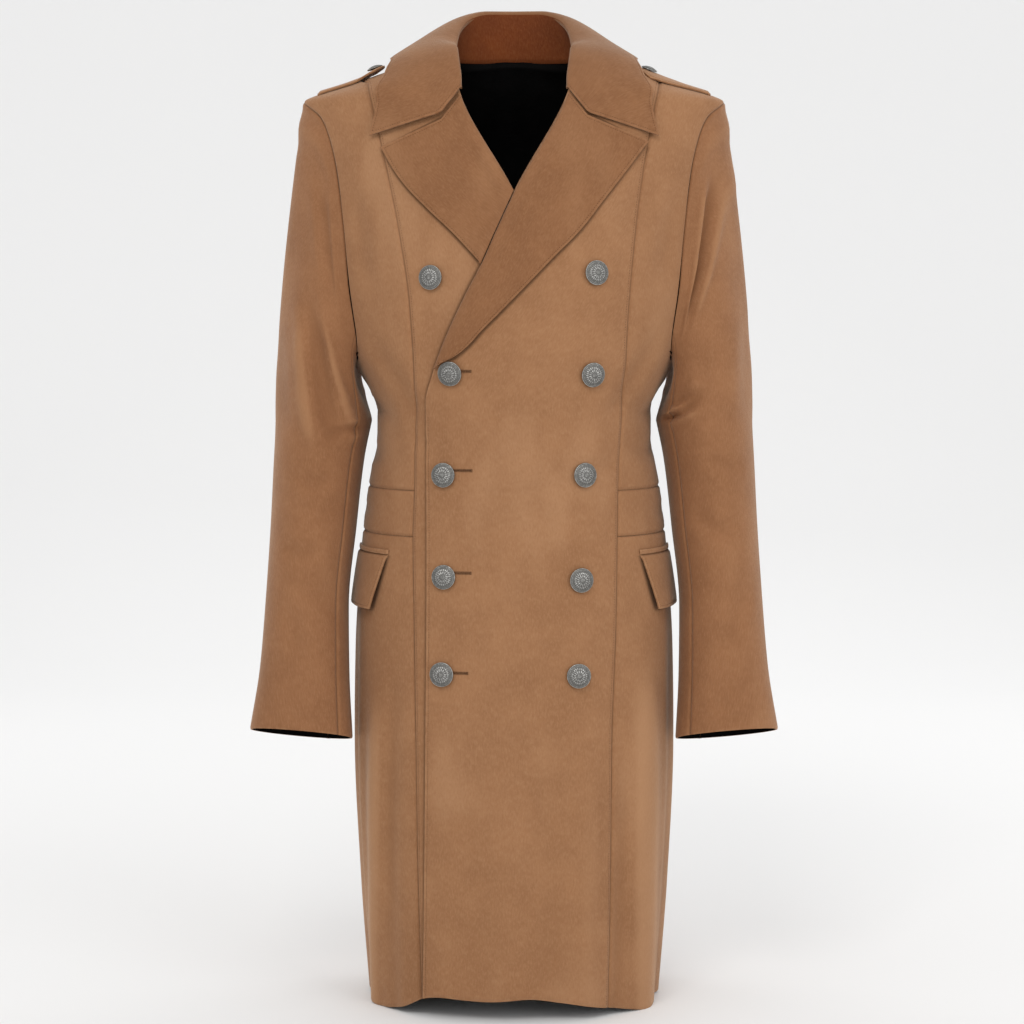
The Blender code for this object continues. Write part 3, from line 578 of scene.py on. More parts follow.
@dataclass
class Cloth:
    """One piece of cloth: a fine grid laid on a surface, given a wall and rounded rims."""

    name: str
    surface: Callable[[Array, Array, Array], Array]
    looks: Looks
    cut: Cut
    borders: Borders  # at s = 0, s = 1, t = 0 and t = 1
    relief: Callable[[Array, Array], Array] | None = None
    spacing: float = GRID
    wall: float = WALL
    seam_depth: float = 0.0016
    seam_width: float = 0.0042
    edge_drop: float = 0.0006
    edge_width: float = 0.0032
    stitch_dent: float = 0.00040
    stitch_width: float = 0.0008
    stitched: Flags = (False, False, False, False)
    # Painted shade darkens the cloth beside an edge that lies on it.
    shade_beside_edge: Callable[[Array, Array], Array] | None = None  # how far beside an edge that lies on it
    points: Array | None = None
    normals: Array | None = None
    away: tuple[Array, Array, Array, Array] | None = None

    def steps(self, length: float) -> Array:
        """Places of a grid's lines along a length, from 0 to 1, close together beside the borders."""
        rim = np.array(BORDER)
        if length < 4 * rim[-1]:
            rim = rim * length / (4 * rim[-1])
        count = max(2, round((length - 2 * rim[-1]) / self.spacing))
        middle = np.linspace(rim[-1], length - rim[-1], count + 1)[1:-1]
        return np.concatenate([rim, middle, (length - rim)[::-1]]) / length

    def distances(self, points: Array) -> tuple[Array, Array, Array, Array]:
        """Distances of a grid's points from the four borders.

        Args:
            points: Grid of points, rows along t and columns along s.

        Returns:
            Distances from s = 0, s = 1, t = 0 and t = 1.
        """
        across = np.linalg.norm(np.diff(points, axis=1), axis=-1)
        upward = np.linalg.norm(np.diff(points, axis=0), axis=-1)
        left = np.concatenate([np.zeros((len(points), 1)), np.cumsum(across, 1)], 1)
        low = np.concatenate([np.zeros((1, points.shape[1])), np.cumsum(upward, 0)], 0)
        return left, left[:, -1:] - left, low, low[-1:] - low

    def heights(self, folds: Array, away: tuple[Array, Array, Array, Array]) -> Array:
        """Heights over the surface: folds, seams that sink in, edges that round down, stitched lines."""
        height = folds
        for border, stitched, distance in zip(self.borders, self.stitched, away):
            if border is SEAM:
                height = height - self.seam_depth * (1 - ease(distance / self.seam_width)) ** 1.5
            if border is FOLDED:
                height = height - self.edge_drop * (1 - ease(distance / self.edge_width)) ** 2
            if stitched:
                off_line = (distance - STITCH_AT) / self.stitch_width
                height = height - self.stitch_dent * np.exp(-(off_line**2))
        return height

    def build(self) -> bpy.types.Object:
        """Makes the piece, finishes it and hides its solid."""
        probe = np.linspace(0, 1, PROBES)
        flat = np.zeros(PROBES)
        width = max(polyline_length(self.surface(probe, flat + t, flat)) for t in PROBED_AT)
        length = max(polyline_length(self.surface(flat + s, probe, flat)) for s in PROBED_AT)
        columns, rows = self.steps(width), self.steps(length)
        s, t = np.meshgrid(columns, rows)
        away = self.distances(self.surface(s, t, np.zeros(s.shape)))
        folds = self.relief(s, t) if self.relief else np.zeros(s.shape)
        height = self.heights(folds, away)
        points, above = self.surface(s, t, height), self.surface(s, t, height + 0.001)
        mesh = self.grid_mesh(points, above, away, folds)
        sides = (self.looks.outer, self.looks.inner)
        piece = add_piece(f"{self.name}_cloth", mesh, sides)
        wall = piece.modifiers.new("Wall", "SOLIDIFY")
        wall.thickness = self.wall
        wall.offset = -1
        wall.use_even_offset = False
        wall.material_offset = 1
        wall.use_rim = True
        rim = piece.modifiers.new("Rim", "BEVEL")
        rim.width = RIM_WIDTH
        rim.segments = 2
        rim.limit_method = "ANGLE"
        rim.angle_limit = radians(RIM_ANGLE)
        rim.harden_normals = False
        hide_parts(self.name)
        self.points, self.normals, self.away = points, unit(above - points), away
        return piece

    def beside(self, border: int, distance: float) -> tuple[Array, Array]:
        """The line at a distance from a border, over the finished piece.

        Args:
            border: Which border: s = 0, s = 1, t = 0 or t = 1.
            distance: How far from it.

        Returns:
            Points and the ways out of the cloth, without the ends that the next borders take.
        """
        away, points, normals = self.away[border], self.points, self.normals
        if border > 1:
            away, points, normals = away.T, points.swapaxes(0, 1), normals.swapaxes(0, 1)
        if border % 2:
            away, points, normals = away[:, ::-1], points[:, ::-1], normals[:, ::-1]
        line = np.array([
            [np.interp(distance, row, field[:, i]) for field in (spots, ups) for i in range(3)]
            for row, spots, ups in zip(away, points, normals)
        ])
        passed = distances_along(line[:, :3])
        kept = (passed > distance) & (passed < passed[-1] - distance)
        return line[kept, :3], line[kept, 3:]

    def grid_mesh(
        self, points: Array, above: Array, away: tuple[Array, ...], folds: Array
    ) -> bpy.types.Mesh:
        """A grid moved onto the points, with its UV map in metres and what its material reads.

        Args:
            points: Grid of points, rows along t and columns along s.
            above: The same grid a little further out.
            away: Distances of the points from the four borders.
            folds: Heights of the folds alone.

        Returns:
            The mesh.
        """
        rows, columns = points.shape[:2]
        bm = bmesh.new()
        bmesh.ops.create_grid(bm, x_segments=columns - 1, y_segments=rows - 1, size=0.5)
        order = np.array([(v.co.y, v.co.x) for v in bm.verts]) + 0.5
        row = np.rint(order[:, 0] * (rows - 1)).astype(int)
        column = np.rint(order[:, 1] * (columns - 1)).astype(int)
        spots = points[row, column]
        for vert, spot in zip(bm.verts, spots):
            vert.co = spot
        middle = (rows // 2, columns // 2)
        across = points[middle[0], middle[1] + 1] - points[middle]
        upward = points[middle[0] + 1, middle[1]] - points[middle]
        if np.dot(np.cross(across, upward), above[middle] - points[middle]) < 0:
            bmesh.ops.reverse_faces(bm, faces=bm.faces)
        mesh = finished(self.name, bm)
        left, _, low, _ = away
        place = np.stack([left[row, column], low[row, column]], -1)
        corner = np.empty(len(mesh.loops), np.int32)
        mesh.loops.foreach_get("vertex_index", corner)
        mesh.uv_layers.new(name="UVMap").data.foreach_set("uv", place[corner].ravel())
        for kind in (SEAM, FOLDED):
            near = np.full(points.shape[:2], 1.0)
            for border, distance in zip(self.borders, away):
                if border is kind:
                    near = np.minimum(near, distance)
            write(mesh, kind.value, near[row, column])
        # Distances beside edges that lie on this piece, which the material darkens with painted shade.
        flat = np.full(len(spots), 1.0)
        if self.shade_beside_edge:
            flat = self.shade_beside_edge(spots[:, 0], spots[:, 2])
        write(mesh, "shade_beside_edge", flat)
        write(mesh, "crease", folds[row, column])
        return mesh


def finished(name: str, bm: bmesh.types.BMesh) -> bpy.types.Mesh:
    """Turns a bmesh into a smoothly shaded mesh."""
    mesh = bpy.data.meshes.new(name)
    bm.to_mesh(mesh)
    bm.free()
    mesh.shade_smooth()
    return mesh


def write(mesh: bpy.types.Mesh, name: str, values: Array) -> None:
    """Writes a value for each point of a mesh, for its material to read."""
    attribute = mesh.attributes.new(name, "FLOAT", "POINT")
    attribute.data.foreach_set("value", values.astype(np.float32))


def polyline_length(points: Array) -> float:
    """Length of a line through points."""
    return float(np.linalg.norm(np.diff(points, axis=0), axis=-1).sum())


def distances_along(points: Array) -> Array:
    """How far along a line through points each of them is."""
    return np.concatenate([[0.0], np.cumsum(np.linalg.norm(np.diff(points, axis=0), axis=-1))])


def add_piece(
    name: str, mesh: bpy.types.Mesh, materials: tuple[bpy.types.Material, ...]
) -> bpy.types.Object:
    """Puts a mesh in the scene as a piece of the coat's one body.

    Args:
        name: The piece's name.
        mesh: Its mesh, in place.
        materials: Its materials, in order.

    Returns:
        The new object.
    """
    for material in materials:
        mesh.materials.append(material)
    piece = bpy.data.objects.new(name, mesh)
    bpy.context.scene.collection.objects.link(piece)
    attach(piece, "root")
    return piece


BODY_SCALE = (0.0026, 1.0)  # metres per degree and per metre of height
SLEEVE_SCALE = (0.0178, 0.62)  # metres per step round and per length

# Folds of the body, as (angle, height).
BODY_FOLDS = (
    # Skirt, in front.
    Fold(((-54, -0.6), (-56, -0.72), (-60, -0.84), (-68, -0.975)), 0.013, -0.0042, 0.3, True),
    Fold(((-44, -0.56), (-46, -0.7), (-49, -0.85), (-52, -0.98)), 0.01, 0.0026, 0.2, True),
    Fold(((-79, -0.52), (-80, -0.7), (-82, -0.98)), 0.014, 0.0038, 0.3, True),
    Fold(((50, -0.56), (51, -0.69), (54, -0.82), (60, -0.98)), 0.021, -0.0056, 0.3, True),
    Fold(((42, -0.64), (42, -0.78), (41, -0.98)), 0.009, 0.0022, 0.2, True),
    Fold(((76, -0.52), (77, -0.69), (80, -0.98)), 0.015, 0.004, 0.3, True),
    Fold(((10, -0.64), (12, -0.8), (13, -0.98)), 0.022, 0.0016, 0.3, True),
    Fold(((-13, -0.7), (-14, -0.84), (-14, -0.98)), 0.018, 0.0012, 0.3, True),
    Fold(((26, -0.68), (27, -0.82), (28, -0.98)), 0.014, -0.0014, 0.3, True),
    # Waist.
    Fold(((-58, -0.392), (-74, -0.398), (-96, -0.388)), 0.008, 0.0022),
    Fold(((-50, -0.362), (-66, -0.352), (-92, -0.34)), 0.01, 0.0024),
    Fold(((-62, -0.452), (-78, -0.455), (-95, -0.448)), 0.006, 0.0011),
    Fold(((48, -0.386), (66, -0.394), (94, -0.384)), 0.008, 0.0022),
    Fold(((56, -0.356), (74, -0.35), (94, -0.336)), 0.01, 0.0022),
    Fold(((58, -0.45), (74, -0.456), (96, -0.452)), 0.006, 0.0011),
    Fold(((24, -0.418), (34, -0.405), (46, -0.396)), 0.008, 0.0014),
    Fold(((-26, -0.392), (-36, -0.38), (-50, -0.372)), 0.008, 0.0012),
    Fold(((-22, -0.424), (-8, -0.432), (10, -0.428), (24, -0.421)), 0.007, 0.0007),
    Fold(((-20, -0.522), (-6, -0.53), (8, -0.528), (22, -0.52)), 0.008, 0.0006),
    # Chest.
    Fold(((55, -0.25), (47, -0.31), (40, -0.375)), 0.012, 0.0024),
    Fold(((-55, -0.256), (-46, -0.318), (-39, -0.385)), 0.012, 0.0022),
    Fold(((54, -0.11), (50, -0.17), (49, -0.235)), 0.01, 0.0018),
    Fold(((-54, -0.105), (-50, -0.165), (-50, -0.24)), 0.01, 0.0018),
    Fold(((70, -0.315), (80, -0.33), (96, -0.335)), 0.009, 0.002),
    Fold(((-72, -0.312), (-82, -0.326), (-96, -0.33)), 0.009, 0.002),
    Fold(((20, -0.335), (28, -0.36), (33, -0.395)), 0.01, 0.001),
    # Back.
    Fold(((152, -0.5), (154, -0.7), (157, -0.985)), 0.02, 0.0046, 0.3, True),
    Fold(((-150, -0.49), (-153, -0.71), (-155, -0.985)), 0.02, 0.0042, 0.3, True),
    Fold(((124, -0.49), (127, -0.7), (128, -0.985)), 0.018, 0.0042, 0.3, True),
    Fold(((-126, -0.5), (-128, -0.72), (-131, -0.985)), 0.019, 0.0046, 0.3, True),
    Fold(((168, -0.62), (169, -0.8), (170, -0.985)), 0.016, -0.0026, 0.3, True),
    Fold(((-167, -0.6), (-168, -0.79), (-171, -0.985)), 0.016, -0.0028, 0.3, True),
    Fold(((177, -0.395), (160, -0.402), (138, -0.396)), 0.01, 0.0026),
    Fold(((-178, -0.408), (-158, -0.414), (-134, -0.405)), 0.01, 0.0026),
    Fold(((175, -0.448), (156, -0.444), (130, -0.436)), 0.01, 0.002),
    Fold(((-176, -0.44), (-160, -0.446), (-128, -0.442)), 0.009, 0.0018),
    Fold(((116, -0.37), (128, -0.352), (146, -0.345)), 0.012, 0.0026),
    Fold(((-114, -0.362), (-126, -0.348), (-144, -0.34)), 0.012, 0.0026),
    Fold(((126, -0.27), (133, -0.21), (139, -0.15)), 0.016, 0.0024),
    Fold(((-126, -0.275), (-134, -0.214), (-140, -0.145)), 0.016, 0.0024),
    Fold(((165, -0.33), (158, -0.27), (155, -0.2)), 0.02, 0.0018),
    Fold(((-168, -0.322), (-160, -0.262), (-156, -0.19)), 0.02, 0.0018),
    Fold(((150, -0.06), (165, -0.072), (178, -0.078)), 0.014, 0.0016),
    Fold(((-150, -0.064), (-166, -0.076), (-178, -0.08)), 0.014, 0.0016),
)

# Folds of the sleeves, as (step round from the underarm, share of the length).
SLEEVE_FOLDS = {
    Side.LEFT: (
        Fold(
            ((8.2, 0.062), (7.5, 0.093), (6.5, 0.112), (5.4, 0.13), (4.2, 0.134), (3.1, 0.15)),
            0.0115, 0.0072, 0.6,
        ),
        Fold(((1.0, 0.398), (2.2, 0.38), (3.2, 0.36), (4.2, 0.352)), 0.0075, 0.0046, 0.6),
        Fold(((2.2, 0.3), (3.4, 0.34), (4.6, 0.35)), 0.011, 0.004, 0.5),
        Fold(((3.6, 0.455), (5.0, 0.48), (6.8, 0.5)), 0.01, 0.0026),
        Fold(((2.6, 0.56), (4.0, 0.6), (5.8, 0.62)), 0.012, 0.0026),
        Fold(((6.4, 0.7), (5.2, 0.78), (4.4, 0.86)), 0.012, 0.0018),
        Fold(((8.6, 0.26), (7.6, 0.33), (7.0, 0.42)), 0.014, 0.0024),
        Fold(((11.8, 0.395), (13.6, 0.425), (15.6, 0.42)), 0.01, 0.0044, 0.5),
        Fold(((11.2, 0.5), (12.8, 0.49), (14.8, 0.5)), 0.011, 0.0034),
        Fold(((12.4, 0.33), (13.8, 0.32), (15.6, 0.335)), 0.011, 0.003),
        Fold(((13.0, 0.62), (14.0, 0.64), (15.5, 0.64)), 0.012, 0.002),
        Fold(((14.2, 0.06), (13.6, 0.14), (13.4, 0.24)), 0.012, 0.0034),
        Fold(((11.5, 0.12), (11.8, 0.2), (12.2, 0.29)), 0.014, 0.002),
        Fold(((16.4, 0.16), (15.6, 0.24), (14.6, 0.3)), 0.011, 0.003),
        Fold(((5.6, 0.03), (9.0, 0.038), (12.4, 0.03)), 0.009, -0.002),
    ),
    Side.RIGHT: (
        Fold(
            ((7.0, 0.195), (6.1, 0.215), (5.2, 0.25), (4.4, 0.32), (3.9, 0.395), (3.0, 0.48)),
            0.013, 0.0072, 0.6,
        ),
        Fold(((7.4, 0.06), (6.4, 0.095), (5.4, 0.125), (4.6, 0.16)), 0.012, 0.003, 0.5),
        Fold(((1.2, 0.405), (2.6, 0.418), (4.2, 0.425)), 0.0065, 0.0032, 0.5),
        Fold(((2.8, 0.5), (4.2, 0.52), (6.0, 0.515)), 0.011, 0.0026),
        Fold(((3.4, 0.64), (4.8, 0.66), (6.6, 0.65)), 0.012, 0.0024),
        Fold(((6.0, 0.74), (5.0, 0.8), (4.4, 0.88)), 0.012, 0.0016),
        Fold(((8.4, 0.28), (7.4, 0.35), (6.6, 0.44)), 0.014, 0.0022),
        Fold(((11.6, 0.41), (13.4, 0.44), (15.4, 0.43)), 0.01, 0.0042, 0.5),
        Fold(((11.4, 0.52), (13.0, 0.505), (14.6, 0.515)), 0.011, 0.0032),
        Fold(((12.6, 0.345), (14.0, 0.335), (15.4, 0.345)), 0.011, 0.0032),
        Fold(((14.0, 0.07), (13.5, 0.15), (13.2, 0.25)), 0.012, 0.0032),
        Fold(((16.2, 0.17), (15.5, 0.25), (14.8, 0.31)), 0.011, 0.0028),
        Fold(((5.6, 0.03), (9.0, 0.038), (12.4, 0.03)), 0.009, -0.002),
    ),
}


def fold_heights(folds: tuple[Fold, ...], scale: tuple[float, float], a: Array, b: Array) -> Array:
    """The sum of folds at places of a surface."""
    total = np.zeros(np.broadcast(a, b).shape)
    for fold in folds:
        total = total + fold.height(a, b, scale)
    return total


# Lapels: height and place across of the outer edge, from the lower end up to the point.
TOP_LAPEL_EDGE = Rows((
    (-0.2962, -0.0707),
    (-0.2930, -0.0620),
    (-0.2611, -0.0281),
    (-0.2257, 0.0065),
    (-0.1901, 0.0411),
    (-0.1665, 0.0643),
    (-0.1361, 0.0877),
    (-0.1055, 0.1112),
    (-0.0754, 0.1342),
))
UNDER_LAPEL_EDGE = Rows((
    (-0.1960, -0.0350),
    (-0.1665, -0.0623),
    (-0.1442, -0.0856),
    (-0.1197, -0.1091),
    (-0.1033, -0.1211),
    (-0.0805, -0.1343),
))
LAPEL_END_Z = -0.303
CROSSING_Z = -0.1235  # where the two fronts' rolls cross
CLIP_Z = -0.199  # where the short lapel runs in below the long one
LONG_SHADE_Z = -0.2965  # lowest place beside the long lapel
SHORT_SHADE_Z = -0.1985  # lowest place beside the short one
BREAK_Z = -0.352  # the front edge is stitched below this
GORGE = (0.0735, -0.0480)
GORGE_START_Z = -0.0240
UNDER_GORGE_Z = -0.0269
NOTCH_GAP = 0.0025
LAYER_GAP = 0.0014
CAD_WALL = 0.002


def edge_at(table: Rows, low: float, high: float) -> Surface:
    """An edge as (across, height) from one height to another."""

    def place(t: Array) -> Array:
        """Pairs along the edge."""
        z = mix(low, high, np.asarray(t, float))
        return np.stack([table.column(z), z], -1)

    return place


def beside_line(x: Array, z: Array, a: tuple[float, float], b: tuple[float, float]) -> Array:
    """How far places are on the outer side of a line, which is to the right of the way from a to b."""
    along, up = b[0] - a[0], b[1] - a[1]
    return ((x - a[0]) * up - (z - a[1]) * along) / hypot(along, up)


def beside_curve(table: Rows, x: Array, z: Array, outwards: int, high: float) -> Array:
    """How far places are beside an edge, as far up as it goes.

    Args:
        table: The edge.
        x: Places across.
        z: Heights.
        outwards: The side that counts as outside it.
        high: Where it ends.

    Returns:
        Distances, and a large one past the end.
    """
    step = 0.001
    slope = (table.column(z + step) - table.column(z - step)) / (2 * step)
    away = outwards * (x - table.column(z)) / np.sqrt(1 + slope**2)
    return np.where(z > high, away + 2 * (z - high), away)


def beside_top_front(x: Array, z: Array) -> Array:
    """Beside the front edge that lies on the other front, and beside the short lapel, for the painted shade
    there.
    """
    edge = beside_curve(TOP_FRONT_EDGE, x, z, -1, CLIP_Z)
    lapel = beside_curve(UNDER_LAPEL_EDGE, x, z, -1, UNDER_LAPEL_EDGE.ends[1])
    return np.minimum(edge, np.where(z > SHORT_SHADE_Z, lapel, 1.0))


def beside_top_lapel(x: Array, z: Array) -> Array:
    """Beside the long lapel, for the painted shade there."""
    lapel = beside_curve(TOP_LAPEL_EDGE, x, z, 1, TOP_LAPEL_EDGE.ends[1])
    return np.where(z > LONG_SHADE_Z, lapel, 1.0)


FLAP_FRONT = ((0.1301, -0.4962), (0.1477, -0.5527))


def beside_flap(x: Array, z: Array) -> Array:
    """Beside a pocket flap's front and lower edges, as they look from in front, for the painted shadow of the
    flap.
    """
    away = np.maximum(beside_line(np.abs(x), z, *FLAP_FRONT), FLAP_FRONT[1][1] - z)
    return np.where(z > FLAP_FRONT[0][1], 1.0, away)


@dataclass
class BodyPanels:
    """The fronts, the side panels and the back halves, laid on the body form."""

    looks: Looks
    over_side: float = 0.82  # shares of its width and length from which the front on top comes down
    over_top: float = 0.90
    neck_share: float = 3 / 7  # of a back half's upper edge, that is the neck
    shoulder_late: float = 6.0
    made: dict[str, Cloth] = field(default_factory=dict)

    def panel(
        self,
        name: str,
        place: Surface,
        cut: Cut,
        borders: Borders,
        stitched: Flags = (False, False, False, False),
        base: Surface | None = None,
        shade_beside_edge: Callable[[Array, Array], Array] | None = None,
    ) -> None:
        """Makes one panel.

        Args:
            name: The panel's name, which is its solid's too.
            place: (angle, height) by s and t.
            cut: The cloth as cut.
            borders: What the borders are.
            stitched: Which borders have a stitched line beside them.
            base: How high the panel lies over the form.
            shade_beside_edge: How far beside an edge that lies on it, where painted shade darkens the cloth.
        """

        def surface(s: Array, t: Array, height: Array) -> Array:
            """Points of the panel."""
            angle, z = np.moveaxis(place(s, t), -1, 0)
            lift = base(s, t) if base else 0.0
            return BodyForm.lifted(angle, z, height + lift)

        def relief(s: Array, t: Array) -> Array:
            """Folds over the panel."""
            angle, z = np.moveaxis(place(s, t), -1, 0)
            return fold_heights(BODY_FOLDS, BODY_SCALE, angle, z)

        cloth = Cloth(name, surface, self.looks, cut, borders, relief, stitched=stitched, shade_beside_edge=shade_beside_edge)
        cloth.build()
        self.made[name] = cloth

    def fronts(self) -> None:
        """Makes both fronts. The wearer's left lies a layer higher, up to its princess seam."""

        def edges(side: Side, table: Rows) -> tuple[Surface, Surface]:
            """The princess seam and the front edge, by t."""
            return (
                lambda t: princess(side, np.asarray(t) * ALL_ROWS),
                lambda t: front_edge(table, np.asarray(t) * ALL_ROWS),
            )

        def over(s: Array, t: Array) -> Array:
            """The layer that the front on top is higher."""
            beside = ease((s - self.over_side) / (1 - self.over_side))
            high = ease((t - self.over_top) / (1 - self.over_top))
            return LAYER * (1 - beside) * (1 - high)

        seam, edge = edges(Side.LEFT, TOP_FRONT_EDGE)
        place = coons(edge, seam, straight(edge(ONE), seam(ONE)), hem_edge(edge(ZERO), seam(ZERO)))
        borders = (FOLDED, SEAM, FOLDED, SEAM)
        stitched = (True, True, False, False)
        self.panel("front_left", place, Cut((0.25, 1.0)), borders, stitched, over, beside_top_lapel)
        seam, edge = edges(Side.RIGHT, UNDER_FRONT_EDGE)
        place = coons(seam, edge, straight(seam(ONE), edge(ONE)), hem_edge(seam(ZERO), edge(ZERO)))
        borders = (SEAM, FOLDED, FOLDED, SEAM)
        stitched = (True, False, False, False)
        self.panel("front_right", place, Cut((0.19, 1.0)), borders, stitched, None, beside_top_front)

    def side_panel(self, side: Side, piece: str, first: int, last: int, flat: tuple[float, float]) -> None:
        """Makes one side panel.

        Args:
            side: Which side.
            piece: The panel's name without its side.
            first: Its lowest row.
            last: Its highest row.
            flat: The cloth as cut.
        """

        def front(t: Array) -> Array:
            """The princess seam of this piece."""
            return princess(side, mix(first, last, np.asarray(t)))

        def back(t: Array) -> Array:
            """The side seam of this piece."""
            return side_seam(side, mix(first, last, np.asarray(t)), False)

        at_hem = first == 0
        low = (hem_edge if at_hem else straight)(front(ZERO), back(ZERO))
        place = coons(front, back, straight(front(ONE), back(ONE)), low)
        borders = (SEAM, SEAM, FOLDED if at_hem else SEAM, SEAM)
        self.panel(f"{piece}_{side.word}", place, Cut(flat), borders, shade_beside_edge=beside_flap)

    def sides(self) -> None:
        """Makes the skirt, waistband and chest panels of both sides."""
        for side in Side:
            self.side_panel(side, "side_skirt", 0, SKIRT_ROWS, (0.158, 0.50))
            self.side_panel(side, "side_waistband", SKIRT_ROWS, BAND_ROW, (0.14, 0.049))
            self.side_panel(side, "side_chest", BAND_ROW, ALL_ROWS, (0.16, 0.44))

    @classmethod
    def back_place(cls, side: Side) -> Surface:
        """(angle, height) on a back half, from its middle seam to its side seam and armhole."""
        neck_share = cls.neck_share
        top = float(side_seam(side, np.array(ALL_ROWS), True)[..., 1])

        def shoulder(s: Array) -> Array:
            """The neck edge and the shoulder seam."""
            round_neck = mix(180.0, 90.0, s / neck_share)
            down = mix(NECK_Z, top, (s - neck_share) / (1 - neck_share))
            in_neck = s < neck_share
            return pair(side.value * np.where(in_neck, round_neck, 90.0), np.where(in_neck, NECK_Z, down))

        def middle(t: Array) -> Array:
            """The middle seam."""
            z = row_height(np.asarray(t) * ALL_ROWS, BodyForm.hem(np.array(180.0)), NECK_Z)
            return pair(side.value * 180.0, z)

        def seam(t: Array) -> Array:
            """The side seam and the armhole above it."""
            return side_seam(side, np.asarray(t) * ALL_ROWS, True)

        return coons(middle, seam, shoulder, hem_edge(middle(ZERO), seam(ZERO)), cls.shoulder_late)

    def backs(self) -> None:
        """Makes both back halves."""
        borders = (SEAM, SEAM, FOLDED, SEAM)
        for side in Side:
            self.panel(f"back_{side.word}", self.back_place(side), Cut((0.26, 1.02)), borders)

    def build(self) -> None:
        """Makes every panel."""
        self.fronts()
        self.sides()
        self.backs()


@dataclass
class Sleeves:
    """Two sleeves of two pieces each, from the armholes to the cuffs."""

    looks: Looks
    underarm_off: float = -0.0004
    underarm_spread: float = 1.6
    underarm_bulge: float = 0.012
    hang_reach: float = 0.25  # how far from the armhole the cloth hangs freely
    cuffward: float = 0.35  # how straight it comes into the hanging part

    @staticmethod
    def ring(side: Side, z: Array, step: Array, height: Array) -> Array:
        """Points of the hanging sleeve's outline at a height."""
        outer, inner, front, back = np.moveaxis(SLEEVE(z), -1, 0)
        turn = 2 * pi * step / ARM_STEPS
        x = (outer + inner) / 2 - ((outer - inner) / 2 + height) * np.cos(turn)
        y = (front + back) / 2 - ((back - front) / 2 + height) * np.sin(turn)
        return np.stack([side.value * x, y, z + 0 * x], -1)

    def start(self, side: Side, step: Array, height: Array) -> Array:
        """Where the sleeve leaves the armhole, just outside it at the underarm."""
        turn = 2 * pi * step / ARM_STEPS
        under = ease(np.cos(turn) * self.underarm_spread)
        angle, z = np.moveaxis(ARMHOLE(step), -1, 0)
        angle = side.value * angle
        spot = BodyForm.lifted(angle, z, self.underarm_off * under)
        spot[..., 0] += side.value * SEAM_GAP * 1.5
        round_way = np.stack([-side.value * np.cos(turn), -np.sin(turn), 0 * turn], -1)
        out = unit(mix(BodyForm.normal(angle, z), round_way, under[..., None]))
        held = mix(height, np.maximum(height, 0.0), under)
        return spot + out * held[..., None]

    def point(self, side: Side, step: Array, t: Array, height: Array) -> Array:
        """Points of the sleeve.

        Args:
            side: Which sleeve.
            step: Places round, from 0 at the underarm, over the front.
            t: Places along, from 0 at the armhole to 1 at the cuff.
            height: How far outside the sleeve's plain surface.

        Returns:
            Points.
        """
        step = np.mod(step, ARM_STEPS)
        down = np.clip((t - CAP_SHARE) / (1 - CAP_SHARE), 0, 1)
        low = self.ring(side, mix(SLEEVE_TOP_Z, CUFF_Z, down), step, height)
        turn = 2 * pi * step / ARM_STEPS
        low[..., 2] += (CUFF_DROP / 2 * np.sin(turn) - CUFF_LEAN / 2 * np.cos(turn)) * down
        start = self.start(side, step, height)
        end = self.ring(side, np.full(step.shape, SLEEVE_TOP_Z), step, height)
        chord = end - start
        reach = np.linalg.norm(chord, axis=-1, keepdims=True)
        hang = ease(reach / self.hang_reach)
        bulge = np.array((side.value * self.underarm_bulge, 0, 0))
        out = mix(chord / 3 + bulge, reach * np.array((side.value * CAP_OUT, 0, -CAP_DOWN)), hang)
        drop = mix(chord / 3, reach * np.array((0, 0, -self.cuffward)), hang)
        u = np.clip(t / CAP_SHARE, 0, 1)[..., None]
        cap = start * (1 - u) ** 3 + (start + out) * 3 * u * (1 - u) ** 2
        cap = cap + (end - drop) * 3 * u * u * (1 - u) + end * u**3
        return np.where((t > CAP_SHARE)[..., None], low, cap)

    def piece(self, side: Side, name: str, first: int, last: int, flat: tuple[float, float]) -> None:
        """Makes one piece of a sleeve.

        Args:
            side: Which sleeve.
            name: The piece's name without its side.
            first: Its first step round.
            last: Its last step round.
            flat: The cloth as cut.
        """

        def surface(s: Array, t: Array, height: Array) -> Array:
            """Points of this piece."""
            return self.point(side, mix(first, last, s), t, height)

        def relief(s: Array, t: Array) -> Array:
            """Folds over this piece."""
            step = mix(first, last, s)
            step = np.where(step < 0, step + ARM_STEPS, step)
            return fold_heights(SLEEVE_FOLDS[side], SLEEVE_SCALE, step, t)

        borders = (SEAM, SEAM, SEAM, FOLDED)
        Cloth(f"{name}_{side.word}", surface, self.looks, Cut(flat), borders, relief).build()

    def build(self) -> None:
        """Makes the top and under piece of both sleeves."""
        for side in Side:
            self.piece(side, "sleeve_top", FRONT_ARM_SEAM, ARM_STEPS - BACK_ARM_SEAM, (0.30, 0.70))
            self.piece(side, "sleeve_under", -BACK_ARM_SEAM, FRONT_ARM_SEAM, (0.11, 0.55))


